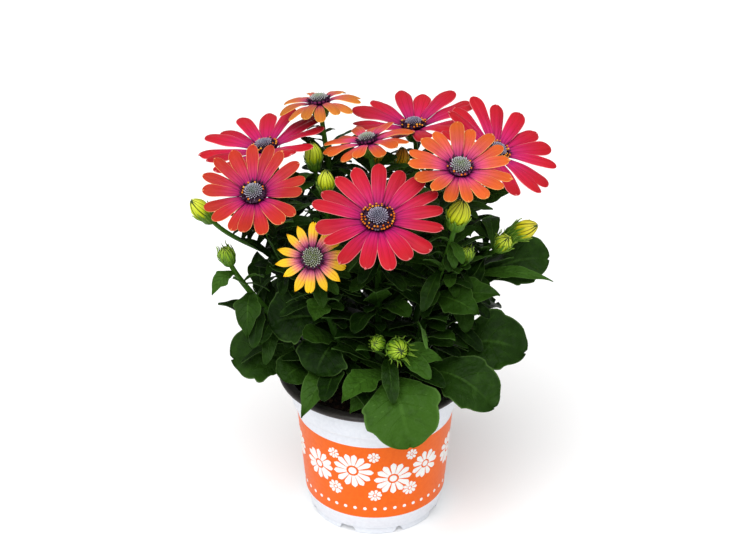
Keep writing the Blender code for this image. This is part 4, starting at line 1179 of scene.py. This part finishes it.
def foot_lift(turns):
    """Height of the pot's lower edge at each angle: it rises in a smooth arch between two feet."""
    lift = np.zeros(len(turns))
    slope = FOOT_SLOPE / BASE_RADIUS
    for middle, half in gap_angles():
        away = np.abs(np.mod(turns - middle + math.pi, TAU) - math.pi)
        step = np.clip((half + slope - away) / (2 * slope), 0, 1)
        lift = np.maximum(lift, (FOOT_HEIGHT - FOOT_CLEAR) * step ** 2 * (3 - 2 * step))
    return lift


def rounded(points, radius, steps=4):
    """The line through (radius, height) points with its inner corners rounded."""
    points = [np.array(point, float) for point in points]
    line = [points[0]]
    for before, corner, after in zip(points, points[1:], points[2:]):
        cut = min(radius, np.linalg.norm(before - corner) * 0.45, np.linalg.norm(after - corner) * 0.45)
        start = corner + unit(before - corner) * cut
        end = corner + unit(after - corner) * cut
        for t in np.linspace(0, 1, steps):
            line.append(start * (1 - t) ** 2 + corner * (2 * t * (1 - t)) + end * t ** 2)
    line.append(points[-1])
    return np.array(line)


def pot_surfaces():
    """White plastic, the printed band and the dark rim and inside."""
    return [
        plain_surface("pot_white", (228, 232, 239), (222, 226, 234), 500.0, 0.32, 0.00005),
        plain_surface("band_orange", (240, 104, 6), (236, 98, 4), 500.0, 0.40, 0.00005,
                      Specular_IOR_Level=0.2),
        plain_surface("rim_dark", (54, 50, 48), (44, 40, 39), 800.0, 0.46, 0.00012, Specular_IOR_Level=0.3),
    ]


def make_pot():
    """The thin-walled pot: feet, tapered wall with its printed band, stepped collar and rolled rim."""
    outer = [(0.5, FOOT_HEIGHT), (FOOT_INNER_RADIUS - 0.4, FOOT_HEIGHT), (FOOT_INNER_RADIUS, 0),
             (BASE_RADIUS, 0), (BASE_RADIUS, FOOT_HEIGHT - 0.4), (BASE_RADIUS + 0.9, FOOT_HEIGHT),
             (BAND_BOTTOM[0] - 0.1, BAND_BOTTOM[1] - 1.0), (BAND_TOP[0] + 0.1, BAND_TOP[1] + 1.0),
             (STEP_INNER_RADIUS + 1.2, STEP_HEIGHT - 0.8),
             (COLLAR_INNER_RADIUS + 1.2, STEP_HEIGHT + 0.9), (RIM_INNER_RADIUS, POT_HEIGHT - 3.6),
             (RIM_RADIUS - 0.6, POT_HEIGHT - 2.9), (RIM_RADIUS, POT_HEIGHT - 1.2),
             (RIM_RADIUS - 1.2, POT_HEIGHT), (RIM_INNER_RADIUS, POT_HEIGHT),
             (COLLAR_INNER_RADIUS, STEP_HEIGHT + 1.2),
             (STEP_INNER_RADIUS, STEP_HEIGHT - 1.2), (BASE_RADIUS - WALL - 0.4, FOOT_HEIGHT + WALL),
             (0.5, FOOT_HEIGHT + WALL)]
    line = rounded(outer, 0.9)
    extra = []
    for a, b in zip(line, line[1:]):
        extra.append(a)
        for edge in (BAND_BOTTOM[1], BAND_TOP[1]):
            if a[1] < edge < b[1] and a[0] > BASE_RADIUS:
                extra.append(a + (b - a) * (edge - a[1]) / (b[1] - a[1]))
    line = np.array(extra + [line[-1]])
    turns = pot_turns()
    lift = foot_lift(turns)
    rings = []
    for radius, height in line:
        heights = np.maximum(height, lift) if radius > FOOT_INNER_RADIUS - 1 else np.full(len(turns), height)
        rings.append(spokes(turns) * radius + UP * heights[:, None])
    piece = Piece()
    piece.skin(np.array(rings))
    cells = len(turns)
    rim_row = int(np.argmax((line[:, 1] > POT_HEIGHT - 3.7) & (line[:, 0] > RIM_INNER_RADIUS + 0.4)))
    for row in range(len(line) - 1):
        middle = (line[row] + line[row + 1]) / 2
        if row >= rim_row:
            kind = DARK
        elif middle[0] > BASE_RADIUS and BAND_BOTTOM[1] < middle[1] < BAND_TOP[1]:
            kind = BAND
        else:
            kind = WHITE
        piece.slots[row * cells:(row + 1) * cells] = [kind] * cells
    piece.make("fine_pot", pot_surfaces(), "pot", "pot_plastic", sharp=38)


# The print on the band: its daisies, which repeat round the pot, the form of their rays and the dots
PRINT_PROUD = 0.12
Daisy = namedtuple("Daisy", "turn height radius rays")
DAISIES = (Daisy(-47, 42, 10, 12), Daisy(-17, 45, 11.5, 13), Daisy(14, 40, 10.5, 12), Daisy(41, 44, 9, 11),
           Daisy(-32, 54, 3.5, 8), Daisy(-1, 55, 3.5, 8), Daisy(28, 54, 3.5, 8), Daisy(-32, 31, 4.5, 9),
           Daisy(0, 29, 4.0, 9), Daisy(28, 31, 4.5, 9))
PRINT_RAY = ((0, 0.45), (0.35, 0.72), (0.65, 1.0), (0.8, 0.98), (0.92, 0.72), (1.0, 0.12))
DOTS = 45
DOT_HEIGHT = 19.5
DOT_RADIUS = 1.0
PRINT_REPEATS = 3


def on_band(turn, across, height, proud):
    """Points on the printed band, from an angle, a length round from it and a height."""
    radius = between(height, ((BAND_BOTTOM[1], BAND_BOTTOM[0]), (BAND_TOP[1], BAND_TOP[0])))
    angle = turn + across / radius - math.pi / 2
    return np.stack([(radius + proud) * np.cos(angle), (radius + proud) * np.sin(angle), height], -1)


def add_print(piece, turn, height, x, y):
    """A thin printed shape round a middle on the band, from a grid of lengths across and up."""
    piece.sheet(on_band(turn, x, height + y, PRINT_PROUD), on_band(turn, x, height + y, 0.0), (0, 0))


def make_print():
    """Plain white daisies and a row of dots printed on the band."""
    rng = random.Random(f"{SEED} print")
    piece = Piece()
    s = np.linspace(0, 1, 7)[:, None]
    c = np.linspace(1, -1, 3)[None, :]
    around = TAU * np.linspace(0, 1, 15)[None, :]
    spot = np.linspace(0.05, 1, 3)[:, None]
    for k in range(PRINT_REPEATS):
        for daisy in DAISIES:
            middle = math.radians(daisy.turn + 360 / PRINT_REPEATS * k)
            for ray in range(daisy.rays):
                turn = TAU * (ray + rng.uniform(-0.1, 0.1)) / daisy.rays
                far = daisy.radius * (0.30 + 0.70 * s * rng.uniform(0.92, 1.0))
                half = daisy.radius * 1.9 / daisy.rays * between(s, PRINT_RAY)
                add_print(piece, middle, daisy.height, far * math.cos(turn) - c * half * math.sin(turn),
                          far * math.sin(turn) + c * half * math.cos(turn))
            far = daisy.radius * 0.20 * spot
            add_print(piece, middle, daisy.height, far * np.cos(around), far * np.sin(around))
    for k in range(DOTS):
        far = DOT_RADIUS * spot
        add_print(piece, TAU * k / DOTS, DOT_HEIGHT, far * np.cos(around), far * np.sin(around))
    ink = plain_surface("print_white", (246, 246, 244), (238, 238, 236), 900.0, 0.4, 0.00005)
    piece.make("band_print", [ink], None, "pot_plastic")


SOIL_SIDES = 120
SOIL_RINGS = 38
CRUMBS = 340
CRUMB_SIDES = 7


def make_soil():
    """The compost: a crumbly top, with loose crumbs pressed into it."""
    rng = np.random.default_rng(SEED)
    crumbs = random.Random(f"{SEED} crumbs")
    bottom = FOOT_HEIGHT + WALL + CLEAR
    edge = COLLAR_INNER_RADIUS + 0.5 - CLEAR
    ring = spokes(TAU * np.arange(SOIL_SIDES) / SOIL_SIDES)
    rings = [ring * (BASE_RADIUS - WALL - 0.8) + UP * bottom, ring * (edge - 2.2) + UP * (STEP_HEIGHT - 1.4),
             ring * (edge - 0.3) + UP * (STEP_HEIGHT + 3)]
    for radius in np.linspace(edge, 0.6, SOIL_RINGS):
        rough = rng.uniform(-1.0, 0.7, SOIL_SIDES)[:, None] * min(1.0, (edge - radius) / 3 + 0.3)
        swell = 0.8 * np.sin(ring[:, :1] * radius * 0.19 + 1) * np.cos(ring[:, 1:2] * radius * 0.16)
        dip = -1.2 if radius > edge - 1 else -0.3
        wander = rng.uniform(-0.25, 0.25, SOIL_SIDES)[:, None]
        rings.append(ring * (radius + wander) + UP * (SOIL_TOP + dip + rough + swell))
    piece = Piece()
    piece.skin(np.array(rings))
    for k in range(CRUMBS):
        radius, turn = (edge - 2) * math.sqrt(crumbs.random()), crumbs.uniform(0, TAU)
        foot = np.array((radius * math.cos(turn), radius * math.sin(turn), SOIL_TOP - 0.5))
        size = crumbs.uniform(0.5, 1.5)
        axis = unit(np.array((crumbs.uniform(-1, 1), crumbs.uniform(-1, 1), 0.8)))
        crumb = [(size * 0.5, 0), (size, size * 0.5), (size * 0.8, size * 1.1), (size * 0.2, size * 1.5)]
        add_peg(piece, foot, axis, crumb, 0, crumbs.random() ** 3, sides=CRUMB_SIDES)
    piece.make("fine_soil", [soil_surface()], "soil", "compost", sharp=80)


# The stage, with its lengths in metres
FLOOR_HALF = 6.0
FLOOR_TONES = ((0.84, 0.84, 0.84, 1), (0.86, 0.86, 0.86, 1))
SKY_STRENGTH = 0.50
FLOOR_GLOW = 0.14
KEY_STRENGTH = 2.9
KEY_SOFTNESS = 55.0
KEY_FROM = (-0.14, -0.50, 1.0)
CAMERA_LENS = 105.8
CAMERA_PITCH = 30.0
CAMERA_DISTANCE = 1.166
CAMERA_TARGET = 0.140


def make_stage():
    """A plain pale floor, soft studio light and the camera at the photograph's angle."""
    mesh = bpy.data.meshes.new("floor")
    corners = [(FLOOR_HALF * x, FLOOR_HALF * y, 0) for x, y in ((-1, -1), (1, -1), (1, 1), (-1, 1))]
    mesh.from_pydata(corners, [], [(0, 1, 2, 3)])
    floor = show("floor", mesh)
    pale = Surface("floor_white", Roughness=0.9, Specular_IOR_Level=0.1, Emission_Color=(1, 1, 1, 1),
                   Emission_Strength=FLOOR_GLOW)
    pale.body = pale.mix(pale.noise(3.0), *FLOOR_TONES)
    mesh.materials.append(pale.paint())
    world = bpy.data.worlds.new("studio")
    world.use_nodes = True
    world.node_tree.nodes["Background"].inputs["Color"].default_value = (1, 1, 1, 1)
    world.node_tree.nodes["Background"].inputs["Strength"].default_value = SKY_STRENGTH
    bpy.context.scene.world = world
    lamp = bpy.data.lights.new("key", "SUN")
    lamp.energy = KEY_STRENGTH
    lamp.angle = math.radians(KEY_SOFTNESS)
    key = show("key", lamp)
    key.rotation_euler = (-Vector(KEY_FROM)).to_track_quat("-Z", "Y").to_euler()
    view = bpy.data.cameras.new("camera")
    view.lens = CAMERA_LENS
    camera = show("camera", view)
    pitch = math.radians(CAMERA_PITCH)
    back, up = CAMERA_DISTANCE * math.cos(pitch), CAMERA_DISTANCE * math.sin(pitch)
    camera.location = (0, -back, CAMERA_TARGET + up)
    camera.rotation_euler = (math.radians(90) - pitch, 0, 0)
    bpy.context.scene.camera = camera
    bpy.context.scene.view_settings.view_transform = "Standard"


def main():
    """Build every fine piece and the stage."""
    for name, bloom in BLOOMS.items():
        make_rays(name, bloom)
        make_disc(name, bloom)
    for name, bud in BUDS.items():
        make_bud(name, bud)
    heads = head_places()
    thicket = Thicket()
    greens = [*leaf_surfaces(), stem_surface(), bract_surface()]
    for name, stem in STEMS.items():
        make_stem(name, stem, heads, thicket, greens)
    make_pot()
    make_print()
    make_soil()
    make_stage()


main()
